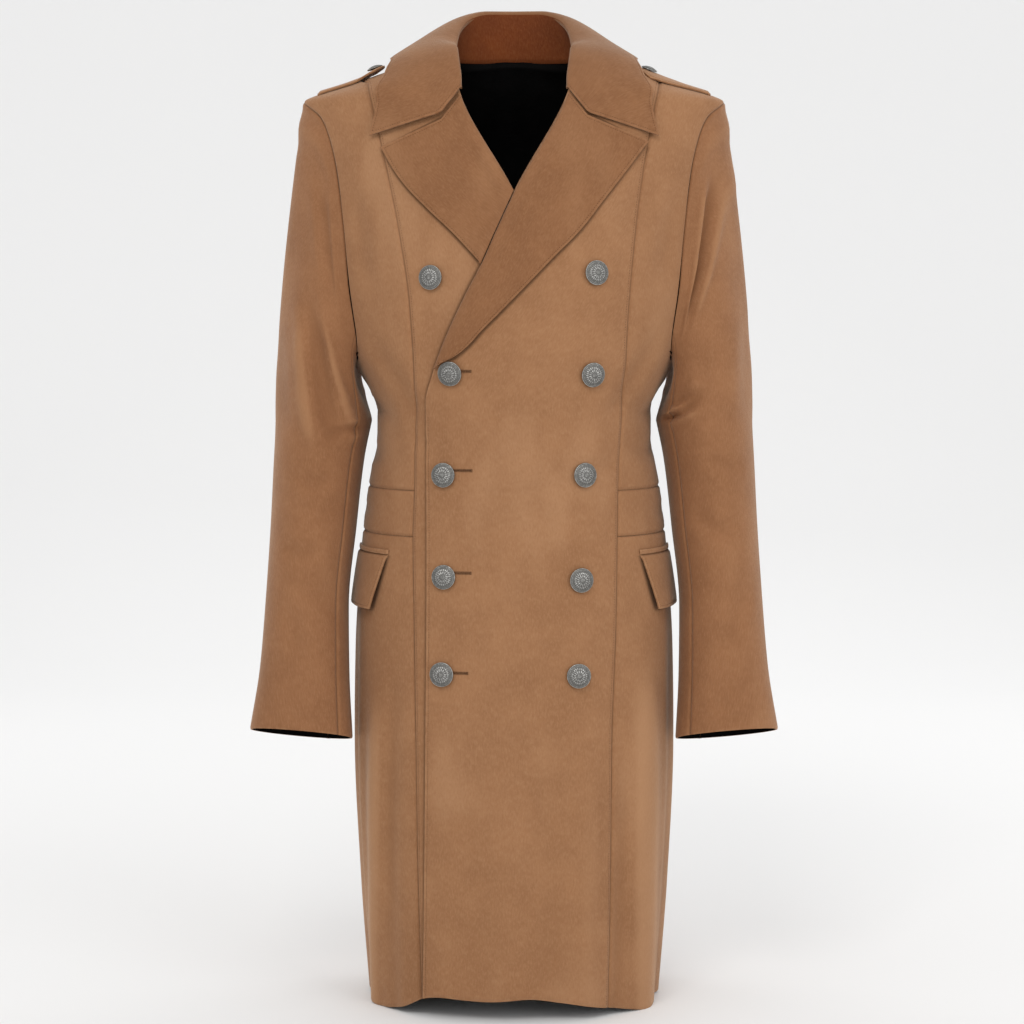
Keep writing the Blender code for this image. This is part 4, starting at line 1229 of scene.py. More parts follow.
class Nodes:
    """Short ways to make and join the nodes of one material."""

    def __init__(self, name: str) -> None:
        """Starts a material with its shader.

        Args:
            name: The material's name.
        """
        self.material = bpy.data.materials.new(name)
        self.material.use_nodes = True
        self.tree = self.material.node_tree
        self.shader = self.tree.nodes["Principled BSDF"]

    def add(self, kind: str, **settings: object) -> bpy.types.Node:
        """A new node with its settings."""
        node = self.tree.nodes.new(kind)
        for key, value in settings.items():
            setattr(node, key, value)
        return node

    def put(self, source: Socket | float | tuple[float, ...], target: Socket) -> None:
        """Joins a socket to another, or sets a constant on it."""
        if isinstance(source, Socket):
            self.tree.links.new(source, target)
        else:
            target.default_value = source

    def shade(self, **inputs: Socket | float | Colour) -> None:
        """Sets or joins inputs of the shader, with an underscore for each space in their names."""
        for name, source in inputs.items():
            self.put(source, self.shader.inputs[name.replace("_", " ")])

    def coords(
        self, kind: str, stretch: tuple[float, float, float] = (1, 1, 1), turn: float = 0.0
    ) -> Socket:
        """Coordinates for a pattern.

        Args:
            kind: Object or UV.
            stretch: Scale along each way.
            turn: Turn about Z, in degrees.

        Returns:
            The vector socket.
        """
        source = self.add("ShaderNodeTexCoord")
        mapping = self.add("ShaderNodeMapping")
        mapping.inputs["Scale"].default_value = stretch
        mapping.inputs["Rotation"].default_value = (0, 0, radians(turn))
        self.put(source.outputs[kind], mapping.inputs["Vector"])
        return mapping.outputs["Vector"]

    def noise(self, where: Socket, scale: float, detail: float = 3.0, rough: float = 0.55) -> Socket:
        """A noise pattern from 0 to 1."""
        node = self.add("ShaderNodeTexNoise")
        self.put(where, node.inputs["Vector"])
        node.inputs["Scale"].default_value = scale
        node.inputs["Detail"].default_value = detail
        node.inputs["Roughness"].default_value = rough
        return node.outputs["Fac"]

    def wave(self, where: Socket, bands: str, scale: float, uneven: float = 0.0) -> Socket:
        """A pattern of bands from 0 to 1."""
        node = self.add("ShaderNodeTexWave", wave_type="BANDS", bands_direction=bands)
        self.put(where, node.inputs["Vector"])
        node.inputs["Scale"].default_value = scale
        node.inputs["Distortion"].default_value = uneven
        return node.outputs["Fac"]

    def attribute(self, name: str) -> Socket:
        """A value that the mesh carries."""
        return self.add("ShaderNodeAttribute", attribute_name=name).outputs["Fac"]

    def math(self, operation: str, a: Socket | float, b: Socket | float = 0.0) -> Socket:
        """A sum of two values, or another operation on them."""
        node = self.add("ShaderNodeMath", operation=operation)
        self.put(a, node.inputs[0])
        self.put(b, node.inputs[1])
        return node.outputs[0]

    def spread(
        self, value: Socket, low: float, high: float, to_low: float = 0.0, to_high: float = 1.0
    ) -> Socket:
        """Maps a range of values to another, smoothly and within its ends.

        Args:
            value: What is mapped.
            low: The value that becomes to_low.
            high: The value that becomes to_high.
            to_low: The first end of the new range.
            to_high: The other end.

        Returns:
            The new value.
        """
        node = self.add("ShaderNodeMapRange", interpolation_type="SMOOTHSTEP")
        self.put(value, node.inputs["Value"])
        ends = {"From Min": low, "From Max": high, "To Min": to_low, "To Max": to_high}
        for key, number in ends.items():
            node.inputs[key].default_value = number
        return node.outputs["Result"]

    def blend(self, share: Socket, a: Socket | Colour, b: Socket | Colour) -> Socket:
        """Mixes two colours by a share."""
        node = self.add("ShaderNodeMix", data_type="RGBA")
        self.put(share, node.inputs[0])
        self.put(a, node.inputs[6])
        self.put(b, node.inputs[7])
        return node.outputs[2]

    def bump(
        self, height: Socket, distance: float, strength: float, under: Socket | None = None
    ) -> Socket:
        """A bump from heights.

        Args:
            height: Heights from 0 to 1.
            distance: What 1 stands for, in metres.
            strength: How much of it is used.
            under: A bump that this one lies on.

        Returns:
            The normal socket.
        """
        node = self.add("ShaderNodeBump")
        self.put(height, node.inputs["Height"])
        node.inputs["Distance"].default_value = distance
        node.inputs["Strength"].default_value = strength
        if under is not None:
            self.put(under, node.inputs["Normal"])
        return node.outputs["Normal"]


@dataclass(frozen=True)
class WoolCloth:
    """Brushed wool: a milled twill under a short nap, mottled, and paler where the nap stands up; painted
    shade darkens its folds, seams and the cloth beside overlying edges, and painted highlights lighten fold
    ridges and folded edges.
    """

    name: str
    colour: Colour
    pale: Colour
    dark: Colour
    sheen: float = 0.26
    nap_turn: float = 4.0
    twill_turn: float = 32.0

    def build(self) -> bpy.types.Material:
        """Makes the material."""
        n = Nodes(self.name)
        plain = n.coords("Object")
        nap = n.coords("UV", (1.0, 0.30, 1.0), self.nap_turn)
        weave = n.wave(n.coords("UV", (1.0, 1.0, 1.0), self.twill_turn), "X", 330.0, 3.0)
        cloud = n.noise(plain, 26.0, 4.0, 0.6)
        brushed = n.noise(n.coords("Object", (1.0, 1.0, 0.42)), 13.0, 2.0, 0.5)
        mottle = n.noise(plain, 150.0, 4.0, 0.65)
        strokes = n.noise(nap, 620.0, 3.0, 0.7)
        fibres = n.noise(nap, 1900.0, 2.0, 0.6)
        # Clouds and brushed patches, then the nap's strokes.
        colour = n.blend(n.spread(cloud, 0.25, 0.75, 0.45, 1.0), self.dark, self.colour)
        colour = n.blend(n.spread(brushed, 0.50, 0.72, 0.0, 0.42), colour, self.dark)
        colour = n.blend(n.spread(brushed, 0.46, 0.28, 0.0, 0.40), colour, self.pale)
        colour = n.blend(n.spread(mottle, 0.45, 0.75, 0.0, 0.22), colour, self.pale)
        colour = n.blend(n.spread(strokes, 0.46, 0.72, 0.0, 0.34), colour, self.pale)
        colour = n.blend(n.spread(strokes, 0.50, 0.28, 0.0, 0.28), colour, self.dark)
        # Painted shade in the folds and painted highlights on their ridges, from the folds' heights.
        crease = n.attribute("crease")
        colour = n.blend(n.spread(crease, -0.0004, -0.0050, 0.0, 0.55), colour, self.dark)
        colour = n.blend(n.spread(crease, 0.0004, 0.0040, 0.0, 0.60), colour, self.pale)
        # Painted shade in the seam grooves and on the cloth beside the edges that lie on it, and a painted
        # highlight along its own folded edges.
        painted_shade = tuple(0.42 * part for part in self.dark[:3]) + (1.0,)
        in_seam = n.spread(n.attribute(SEAM.value), 0.0, 0.0015, 0.56, 0.0)
        in_seam = n.math("MULTIPLY", in_seam, n.spread(cloud, 0.35, 0.62, 0.62, 1.0))
        beside = n.spread(n.attribute("shade_beside_edge"), 0.0004, 0.0042, 0.72, 0.0)
        # Painted highlight along the cloth's own folded edges.
        edge_highlight = n.spread(n.attribute(FOLDED.value), 0.0002, 0.0030, 0.50, 0.0)
        colour = n.blend(n.math("MAXIMUM", in_seam, beside), colour, painted_shade)
        colour = n.blend(n.math("MULTIPLY", edge_highlight, n.spread(mottle, 0.35, 0.6)), colour, self.pale)
        n.shade(Base_Color=colour, Roughness=n.spread(strokes, 0.3, 0.7, 0.95, 0.80), Specular_IOR_Level=0.25)
        n.shade(Sheen_Weight=self.sheen, Sheen_Roughness=0.38, Sheen_Tint=(1.0, 0.86, 0.70, 1.0))
        height = n.math("ADD", n.math("MULTIPLY", strokes, 0.6), n.math("MULTIPLY", fibres, 0.25))
        height = n.math("ADD", height, n.math("MULTIPLY", weave, 0.12))
        soft = n.bump(mottle, 0.0012, 0.35)
        n.shade(Normal=n.bump(height, 0.0007, 0.55, soft))
        return n.material


@dataclass(frozen=True)
class SatinLining:
    """Black twilled satin."""

    name: str = "lining_satin"
    colour: Colour = (0.0016, 0.0015, 0.0015, 1.0)
    pale: Colour = (0.0030, 0.0027, 0.0027, 1.0)

    def build(self) -> bpy.types.Material:
        """Makes the material."""
        n = Nodes(self.name)
        soft = n.noise(n.coords("Object"), 60.0, 3.0)
        weave = n.wave(n.coords("UV"), "DIAGONAL", 900.0)
        colour = n.blend(n.spread(soft, 0.35, 0.65), self.colour, self.pale)
        n.shade(Base_Color=colour, Roughness=n.spread(soft, 0.3, 0.7, 0.70, 0.84), Specular_IOR_Level=0.05)
        n.shade(Normal=n.bump(weave, 0.0002, 0.3, n.bump(soft, 0.002, 0.4)))
        return n.material


@dataclass(frozen=True)
class Thread:
    """Sewing thread with a fine twist."""

    name: str
    colour: Colour

    def build(self) -> bpy.types.Material:
        """Makes the material."""
        n = Nodes(self.name)
        tone = n.noise(n.coords("Object"), 700.0, 2.0)
        darker = tuple(0.6 * part for part in self.colour[:3]) + (1.0,)
        colour = n.blend(n.spread(tone, 0.35, 0.65), darker, self.colour)
        n.shade(Base_Color=colour, Roughness=0.62, Specular_IOR_Level=0.15)
        return n.material


@dataclass(frozen=True)
class AntiqueSilver:
    """Cast metal, rubbed bright where it stands up and dark in its recesses."""

    name: str = "antique_silver"
    bright: Colour = (0.43, 0.425, 0.41, 1.0)
    dull: Colour = (0.15, 0.147, 0.138, 1.0)

    def build(self) -> bpy.types.Material:
        """Makes the material."""
        n = Nodes(self.name)
        where = n.coords("Object")
        patina = n.noise(where, 420.0, 4.0, 0.65)
        fine = n.noise(where, 2400.0, 3.0, 0.6)
        rubbed = n.math("ADD", n.attribute("relief"), n.spread(patina, 0.3, 0.7, -0.22, 0.22))
        colour = n.blend(n.spread(rubbed, 0.12, 1.0), self.dull, self.bright)
        n.shade(Base_Color=colour, Roughness=n.spread(rubbed, 0.2, 0.9, 0.62, 0.30), Metallic=1.0)
        n.shade(Normal=n.bump(fine, 0.0001, 0.35, n.bump(patina, 0.0003, 0.3)))
        return n.material


@dataclass
class Studio:
    """A pale floor, soft studio lights and the camera."""

    floor_z: float = -0.9745
    half_width: float = 7.0
    front_y: float = -7.0
    wall_y: float = 4.5
    wall_top: float = 6.0
    curve: float = 2.2
    curve_steps: int = 12
    coat_middle: tuple[float, float, float] = (0.0, 0.0, -0.45)
    camera_spot: tuple[float, float, float] = (-0.00212, -2.8, -0.248)
    camera_aim: tuple[float, float, float] = (-0.00212, 0.0, -0.458)
    lens: float = 93.1
    sensor: float = 36.0
    paper: Colour = (0.90, 0.90, 0.90, 1.0)
    # The paper towards the front is painted darker: painted shade that evens out the stronger light there.
    near_paper: Colour = (0.78, 0.78, 0.78, 1.0)

    def floor(self) -> None:
        """Makes the floor, which runs up into a wall behind."""
        bm = bmesh.new()
        bend = self.wall_y - self.curve
        line = [(self.front_y, 0.0), (bend, 0.0)]
        for i in range(1, self.curve_steps + 1):
            turn = i * pi / (2 * self.curve_steps)
            line.append((bend + self.curve * sin(turn), self.curve - self.curve * cos(turn)))
        line.append((self.wall_y, self.wall_top))
        verts = [bm.verts.new((-self.half_width, y, self.floor_z + z)) for y, z in line]
        edges = [bm.edges.new(ends) for ends in zip(verts, verts[1:])]
        grown = bmesh.ops.extrude_edge_only(bm, edges=edges)
        moved = [item for item in grown["geom"] if isinstance(item, bmesh.types.BMVert)]
        bmesh.ops.translate(bm, verts=moved, vec=(2 * self.half_width, 0, 0))
        bmesh.ops.recalc_face_normals(bm, faces=bm.faces)
        mesh = finished("floor", bm)
        n = Nodes("paper")
        split = n.add("ShaderNodeSeparateXYZ")
        n.put(n.coords("Object"), split.inputs[0])
        # Darker towards the front: painted shade that evens out the stronger light near the coat.
        colour = n.blend(n.spread(split.outputs["Y"], 0.2, 4.0), self.near_paper, self.paper)
        n.shade(Base_Color=colour, Roughness=0.9, Specular_IOR_Level=0.1)
        mesh.materials.append(n.material)
        floor = bpy.data.objects.new("floor", mesh)
        bpy.context.scene.collection.objects.link(floor)

    def world(self) -> None:
        """An even pale surround."""
        world = bpy.data.worlds.new("studio")
        world.use_nodes = True
        ground = world.node_tree.nodes["Background"]
        ground.inputs["Color"].default_value = (0.87, 0.87, 0.87, 1.0)
        ground.inputs["Strength"].default_value = 1.0
        bpy.context.scene.world = world

    def light(
        self,
        name: str,
        spot: tuple[float, float, float],
        size: float,
        watts: float,
        shade: tuple[float, float, float] = (1, 1, 1),
    ) -> None:
        """One soft light aimed at the coat's middle.

        Args:
            name: Its name.
            spot: Its place.
            size: The side of its square.
            watts: Its power.
            shade: Its colour.
        """
        data = bpy.data.lights.new(name, "AREA")
        data.size = size
        data.energy = watts
        data.color = shade
        lamp = bpy.data.objects.new(name, data)
        lamp.location = spot
        aim = Vector(self.coat_middle) - Vector(spot)
        lamp.rotation_euler = aim.to_track_quat("-Z", "Y").to_euler()
        bpy.context.scene.collection.objects.link(lamp)

    def camera(self) -> None:
        """The camera, at the photograph's angle."""
        data = bpy.data.cameras.new("camera")
        data.lens = self.lens
        data.sensor_width = self.sensor
        data.sensor_fit = "HORIZONTAL"
        data.clip_start = 0.1
        data.clip_end = 60.0
        camera = bpy.data.objects.new("camera", data)
        spot = Vector(self.camera_spot)
        aim = Vector(self.camera_aim) - spot
        camera.location = spot
        camera.rotation_euler = aim.to_track_quat("-Z", "Y").to_euler()
        bpy.context.scene.collection.objects.link(camera)
        bpy.context.scene.camera = camera

    def build(self) -> None:
        """Sets up the whole studio."""
        self.camera()
        self.floor()
        self.world()
        self.light("key", (-0.6, -2.6, 1.9), 1.2, 31.0, (1.0, 0.98, 0.95))
        self.light("fill", (1.9, -2.2, 0.4), 1.6, 17.0)
        self.light("rim_left", (-2.0, 1.4, 0.6), 1.2, 8.0)
        self.light("rim_right", (2.0, 1.4, 0.8), 1.2, 10.0)
        self.light("back", (0.3, 2.4, 0.9), 1.6, 6.0)
        scene = bpy.context.scene
        scene.view_settings.view_transform = "Standard"
        scene.view_settings.look = "None"
        scene.view_settings.exposure = 0.0


@dataclass
class Lapels:
    """Both lapels, rolled back from the fronts: soft at the roll, flat at the edge."""

    looks: Looks
    roll_reach: float = 0.0045  # how far in from the fold the cloth turns under
    roll_drop: float = 0.0042
    bulge: float = 0.0028
    bulge_at: float = 0.011
    trough: float = 0.0010
    trough_at: float = 0.026
    spread: float = 0.008  # of the bulge and the trough
    clipped: float = 0.45  # share of the short lapel's inner edge that lies along the long one's fold
    made: dict[str, Cloth] = field(default_factory=dict)

    def rolled(self, from_fold: Array, along: Array) -> Array:
        """Heights beside the fold: turned under at the fold, then a soft bulge that dies down.

        Args:
            from_fold: Distances from the fold.
            along: Places along the fold, from 0 to 1.

        Returns:
            Heights in metres.
        """
        inside = np.clip(1 - from_fold / self.roll_reach, 0, 1)
        turned = self.roll_drop * (1 - np.sqrt(np.clip(1 - inside**2, 0, 1)))
        full = np.sin(pi * np.clip(along, 0, 1))
        soft = self.bulge * np.exp(-(((from_fold - self.bulge_at) / self.spread) ** 2)) * full**0.5
        trough = self.trough * np.exp(-(((from_fold - self.trough_at) / self.spread) ** 2)) * full
        return soft - turned - trough

    def lay(
        self,
        name: str,
        place: Surface,
        height: Callable[[Array, Array, Array, Array], Array],
        cut: Cut,
        borders: Borders,
        stitched: Flags,
    ) -> None:
        """Makes one lapel.

        Args:
            name: Its name, which is its solid's too.
            place: (across, height) by s and t.
            height: How high it lies over the body form, by s, t, place across and height.
            cut: The cloth as cut.
            borders: What the borders are.
            stitched: Which borders have a stitched line beside them.
        """

        def surface(s: Array, t: Array, lift: Array) -> Array:
            """Points of the lapel."""
            x, z = np.moveaxis(place(s, t), -1, 0)
            return BodyForm.lifted(BodyForm.angle_at(x, z), z, height(s, t, x, z) + lift)

        cloth = Cloth(name, surface, self.looks, cut, borders, stitched=stitched, spacing=FINE_GRID)
        cloth.build()
        self.made[name] = cloth

    def top(self) -> None:
        """The long lapel of the front on top."""
        roll = edge_at(TOP_FRONT_EDGE, LAPEL_END_Z, GORGE_START_Z)
        outer = edge_at(TOP_LAPEL_EDGE, *TOP_LAPEL_EDGE.ends)
        below = np.array((0.0, -NOTCH_GAP))
        top_edge = polyline([roll(ONE) + below, np.array(GORGE) + below, outer(ONE)])
        place = coons(roll, outer, top_edge, straight(roll(ZERO), outer(ZERO)))

        def height(s: Array, t: Array, x: Array, z: Array) -> Array:
            """Height of the outer face."""
            wide = np.linalg.norm(outer(t) - roll(t), axis=-1)
            base = LAYER + LAYER_GAP + CAD_WALL + 0.001 * s
            wave = 0.0016 * np.sin(t * 7.5 + 0.6) * np.sin(pi * s) * ease((0.9 - t) / 0.2)
            return base + self.rolled(s * wide, t) * ease((wide - 0.004) / 0.02) + wave

        borders = (FREE, FOLDED, FREE, FOLDED)
        cut = Cut((0.13, 0.32), "folded", ("front_left",))
        self.lay("lapel_left", place, height, cut, borders, (False, True, False, True))

    def under(self) -> None:
        """The short lapel of the front underneath, which runs in below the other."""
        clip = edge_at(TOP_FRONT_EDGE, CLIP_Z, CROSSING_Z)
        fold = edge_at(UNDER_FRONT_EDGE, CROSSING_Z, UNDER_GORGE_Z)
        outer = edge_at(UNDER_LAPEL_EDGE, *UNDER_LAPEL_EDGE.ends)
        clear = np.array((-0.0004, 0.0))

        def inner(t: Array) -> Array:
            """Along the other lapel's fold, then along its own."""
            t = np.asarray(t, float)
            low = clip(np.clip(t / self.clipped, 0, 1)) + clear
            share = np.clip((t - self.clipped) / (1 - self.clipped), 0, 1)
            high = fold(share) + clear * (1 - share)[..., None]
            return np.where((t < self.clipped)[..., None], low, high)

        gorge = np.array((-GORGE[0], GORGE[1] - 2 * NOTCH_GAP))
        top_edge = polyline([outer(ONE), gorge, inner(ONE)])
        place = coons(outer, inner, top_edge, straight(outer(ZERO), inner(ZERO)))

        def height(s: Array, t: Array, x: Array, z: Array) -> Array:
            """Height of the outer face."""
            wide = np.linalg.norm(outer(t) - inner(t), axis=-1)
            own = ease((t - 0.40) / 0.12)
            rolled = self.rolled((1 - s) * wide, mix(0.2, 1.0, t)) * own
            flat = self.rolled((1 - s) * wide + 0.011, mix(0.3, 0.8, t)) * (1 - own) * 0.6
            wave = 0.0012 * np.sin(t * 6.0 + 2.0) * np.sin(pi * s) * ease((0.9 - t) / 0.2)
            return LAYER_GAP + CAD_WALL + 0.001 * (1 - s) + rolled + flat + wave

        borders = (FOLDED, FREE, FREE, FOLDED)
        cut = Cut((0.12, 0.15), "folded", ("front_right",))
        self.lay("lapel_right", place, height, cut, borders, (True, False, False, True))

    def build(self) -> None:
        """Makes both lapels."""
        self.top()
        self.under()


# Collar, from the middle of the back round to the front end: fold across, back and up, then the
# outer edge on the body form as angle and height. After them, the neck seam's angle and height.
COLLAR = Rows((
    (0, 0.0000, 0.0800, 0.0730, 180.0, -0.0040, 180.0, 0.0220),
    (1, 0.0270, 0.0740, 0.0725, 155.0, -0.0040, 152.0, 0.0220),
    (2, 0.0500, 0.0520, 0.0640, 128.0, 0.0010, 122.0, 0.0220),
    (3, 0.0600, 0.0150, 0.0450, 100.0, 0.0065, 96.0, 0.0220),
    (4, 0.0620, -0.0200, 0.0210, 72.0, 0.0040, 72.0, 0.0210),
    (5, 0.0600, -0.0480, 0.0030, 55.0, -0.0050, 38.0, 0.0120),
    (6, 0.0570, -0.0720, -0.0130, 38.5, -0.0330, 21.0, -0.0090),
    (7, 0.0549, -0.0835, -0.0240, 42.0, -0.0690, 15.5, -0.0230),
))
COLLAR_SECTIONS = 7
COLLAR_OFF = 0.0052
GORGE_SHARE = 0.4
NECK_MIDDLE_Y = 0.01


@dataclass
class Collar:
    """The collar's fall outside and its stand inside, joined by a rolled fold."""

    looks: Looks
    stand_looks: Looks
    fold_share: float = 0.09  # of the grid, that rolls over the fold
    fold_radius: float = 0.0046
    fold_turn: float = 115.0
    ease_on: float = 0.011  # how gently it comes to lie on the shoulder
    spread_out: float = 0.018  # how far out and up it goes from the fold
    spread_up: float = 0.006
    edge_share: float = 0.62
    edge_lift: float = 0.010
    laid_from: float = 0.55  # shares of its half length where it comes to lie on the chest
    laid_over: float = 0.4
    bent_from: float = 0.8  # from where it follows the gorge
    step_down: float = 0.3  # of a layer, at the fold
    puff: float = 0.0014
    wave: float = 0.0008
    stand_share: float = 0.52  # of its half length, that the stand runs round
    made: dict[str, Cloth] = field(default_factory=dict)

    @staticmethod
    def section(u: Array) -> tuple[Array, Array, Array, Array, Array]:
        """The collar at u, from 0 in the middle of the back to 1 or -1 in front.

        Args:
            u: Places round.

        Returns:
            The fold, the neck seam, the edge's angle and height, and the side's sign.
        """
        sign = np.where(u >= 0, 1.0, -1.0)
        row = COLLAR(np.abs(u) * COLLAR_SECTIONS)
        fold = np.stack([sign * row[..., 0], row[..., 1], row[..., 2]], -1)
        neck = BodyForm.lifted(sign * row[..., 5], row[..., 6], np.full(sign.shape, -0.0035))
        return fold, neck, sign * row[..., 3], row[..., 4], sign

    def standing(self, u: Array, t: Array) -> Array:
        """The fall's underside where it stands over the shoulders."""
        fold, _, angle, z, _ = self.section(u)
        flat = fold - np.array((0, NECK_MIDDLE_Y, 0))
        flat[..., 2] = 0
        out = unit(flat)
        start = fold + out * LAYER_GAP
        edge = BodyForm.lifted(angle, z, np.full(z.shape, COLLAR_OFF))
        first = start + out * self.spread_out + np.array((0, 0, self.spread_up))
        second = mix(start, edge, self.edge_share) + BodyForm.normal(angle, z) * self.edge_lift
        k = t[..., None]
        spot = start * (1 - k) ** 3 + first * 3 * k * (1 - k) ** 2
        spot = spot + second * 3 * k * k * (1 - k) + edge * k**3
        form = BodyForm.top(spot[..., 0], spot[..., 1]) + COLLAR_OFF
        spot[..., 2] = (spot[..., 2] + form + np.hypot(spot[..., 2] - form, self.ease_on)) / 2
        return spot

    def laid(self, u: Array, t: Array) -> Array:
        """The fall's underside where its front end lies on the chest."""
        fold, _, angle, z, sign = self.section(u)
        edge = BodyForm.point(angle, z)
        start = np.stack([fold[..., 0], fold[..., 2]], -1)
        end = np.stack([edge[..., 0], edge[..., 2]], -1)
        gorge = np.stack([sign * GORGE[0], np.full(sign.shape, GORGE[1])], -1)
        to_gorge = mix(start, gorge, np.clip(t / GORGE_SHARE, 0, 1)[..., None])
        to_end = mix(gorge, end, np.clip((t - GORGE_SHARE) / (1 - GORGE_SHARE), 0, 1)[..., None])
        path = np.where((t < GORGE_SHARE)[..., None], to_gorge, to_end)
        bent = ease((np.abs(u) - self.bent_from) / (1 - self.bent_from))
        x, height = np.moveaxis(mix(mix(start, end, t[..., None]), path, bent[..., None]), -1, 0)
        lift = COLLAR_OFF + LAYER * ease(1 - 2 * t) * self.step_down
        return BodyForm.lifted(BodyForm.angle_at(x, height), height, lift)

    def under(self, u: Array, t: Array) -> Array:
        """The fall's underside."""
        share = ease((np.abs(u) - self.laid_from) / self.laid_over)[..., None]
        return mix(self.standing(u, t), self.laid(u, t), share)

    def fall_surface(self, s: Array, t: Array, lift: Array) -> Array:
        """Points of the fall: over the fold first, then down to the edge."""
        u = 2 * s - 1
        down = np.clip((t - self.fold_share) / (1 - self.fold_share), 0, 1)
        step = 0.01
        u_high, u_low = np.minimum(u + step, 1), np.maximum(u - step, -1)
        t_high, t_low = np.minimum(down + step, 1), np.maximum(down - step, 0)
        round_way = self.under(u_high, down) - self.under(u_low, down)
        down_way = self.under(u, t_high) - self.under(u, t_low)
        normal = unit(np.cross(round_way, down_way))
        puff = (self.puff + self.wave * np.sin(u * 9 + 1.0)) * np.sin(pi * down)
        spot = self.under(u, down) + normal * (CAD_WALL + puff + lift)[..., None]
        tangent = unit(down_way)
        turn = np.clip(1 - t / self.fold_share, 0, 1) * radians(self.fold_turn)
        radius = (self.fold_radius + lift)[..., None]
        centre = self.under(u, down) + normal * (CAD_WALL - self.fold_radius)
        bend = normal * np.cos(turn)[..., None] - tangent * np.sin(turn)[..., None]
        return np.where((t < self.fold_share)[..., None], centre + bend * radius, spot)

    def stand_surface(self, s: Array, t: Array, lift: Array) -> Array:
        """Points of the stand's inner face, from the neck seam up to the fold."""
        fold, neck, _, _, _ = self.section((2 * s - 1) * self.stand_share)
        spot = mix(neck - np.array((0, 0, 0.0015)), fold - np.array((0, 0, 0.0010)), t[..., None])
        inward = np.stack([-spot[..., 0], NECK_MIDDLE_Y - spot[..., 1], 0 * spot[..., 2]], -1)
        return spot + unit(inward) * (2 * SEAM_GAP + CAD_WALL + lift)[..., None]

    def build(self) -> None:
        """Makes the fall and the stand."""
        borders = (FOLDED, FOLDED, FREE, FOLDED)
        cut = Cut((0.50, 0.125), "folded", ("collar_stand",))
        stitched = (True, True, False, True)
        fall = Cloth(
            "collar_fall", self.fall_surface, self.looks, cut, borders, spacing=FINE_GRID, stitched=stitched
        )
        fall.build()
        borders = (FREE, FREE, SEAM, FREE)
        cut = Cut((0.26, 0.05), "folded", ("back_left", "back_right"))
        looks, stitched = self.stand_looks, (False, False, True, False)
        stand = Cloth(
            "collar_stand", self.stand_surface, looks, cut, borders, spacing=FINE_GRID, stitched=stitched
        )
        stand.build()
        self.made = {"collar_fall": fall, "collar_stand": stand}


@dataclass
class Lining:
    """The black lining of the back, seen through the neck."""

    looks: Looks
    inside: float = 0.0035  # how far in from the wool it hangs
    free: float = 0.0060  # how much more towards its top
    pleat: float = 0.0030
    pleat_width: float = 0.05
    wall: float = 0.0012

    def surface(self, s: Array, t: Array, lift: Array) -> Array:
        """Points of the lining's inner face, a little free of the back towards its top."""
        across = 2 * s - 1
        share = np.abs(across) * 6 / 7
        up = mix((ALL_ROWS - ARMHOLE_ROWS) / ALL_ROWS, 0.9995, t)
        left = BodyPanels.back_place(Side.LEFT)(share, up)
        right = BodyPanels.back_place(Side.RIGHT)(share, up)
        angle, z = np.moveaxis(np.where((across >= 0)[..., None], left, right), -1, 0)
        free = mix(SEAM_GAP * 2, self.free, ease((t - 0.3) / 0.5)) * (1 - 0.9 * ease((t - 0.94) / 0.05))
        pleat = self.pleat * np.exp(-((across / self.pleat_width) ** 2)) * ease(t / 0.4)
        return BodyForm.lifted(angle, z, -CAD_WALL - free - self.inside - pleat - lift)

    def build(self) -> None:
        """Makes the lining."""
        borders = (FREE, FREE, FREE, SEAM)
        cut = Cut((0.48, 0.36), "hung", ("back_left", "back_right"))
        Cloth("lining_back", self.surface, self.looks, cut, borders, wall=self.wall).build()


@dataclass
class Pockets:
    """Two slanted pockets: a narrow jet, and a flap that stands off below it."""

    looks: Looks
    front: float = 50.0
    back: float = 91.0
    jet_top: float = -0.4905
    jet_bottom: float = -0.4950
    flap_top: float = -0.4962
    flap_bottom: float = -0.5530
    slant: float = 6.5
    jet_lift: float = 0.0008
    jet_height: float = 0.0016
    jet_wall: float = 0.0014
    jet_edge_drop: float = 0.0004
    flare: float = 0.0040
    corner: float = 0.0022
    wave: float = 0.0006
    made: dict[str, Cloth] = field(default_factory=dict)

    def pocket(self, side: Side) -> None:
        """Makes the jet and the flap of one side."""

        def jet(s: Array, t: Array, lift: Array) -> Array:
            """Points of the jet."""
            angle = side.value * mix(self.front, self.back, s)
            height = self.jet_lift + self.jet_height + lift
            return BodyForm.lifted(angle, mix(self.jet_bottom, self.jet_top, t), height)

        def flap(s: Array, t: Array, lift: Array) -> Array:
            """Points of the flap, which flares towards its lower edge and its front corner."""
            start = self.front + 0.5 + self.slant * (1 - t)
            angle = side.value * mix(start, self.back - 0.5, s)
            corner = (self.corner * (1 - s) ** 3 + self.wave * np.sin(s * 8)) * (1 - t)
            height = self.jet_lift + self.flare * (1 - t) ** 0.7 + CAD_WALL + corner
            return BodyForm.lifted(angle, mix(self.flap_bottom, self.flap_top, t), height + lift)

        carrier = (f"side_skirt_{side.word}",)
        Cloth(
            f"pocket_jet_{side.word}",
            jet,
            self.looks,
            Cut((0.115, 0.0112), "folded", carrier),
            (FOLDED,) * 4,
            spacing=FINEST_GRID,
            wall=self.jet_wall,
            edge_drop=self.jet_edge_drop,
        ).build()
        name = f"pocket_flap_{side.word}"
        edges = (FOLDED, FOLDED, FOLDED, SEAM)
        cut, stitched = Cut((0.112, 0.059), "hung", carrier), (True, True, True, False)
        cloth = Cloth(name, flap, self.looks, cut, edges, stitched=stitched, spacing=FINE_GRID)
        cloth.build()
        self.made[name] = cloth

    def build(self) -> None:
        """Makes both pockets."""
        for side in Side:
            self.pocket(side)


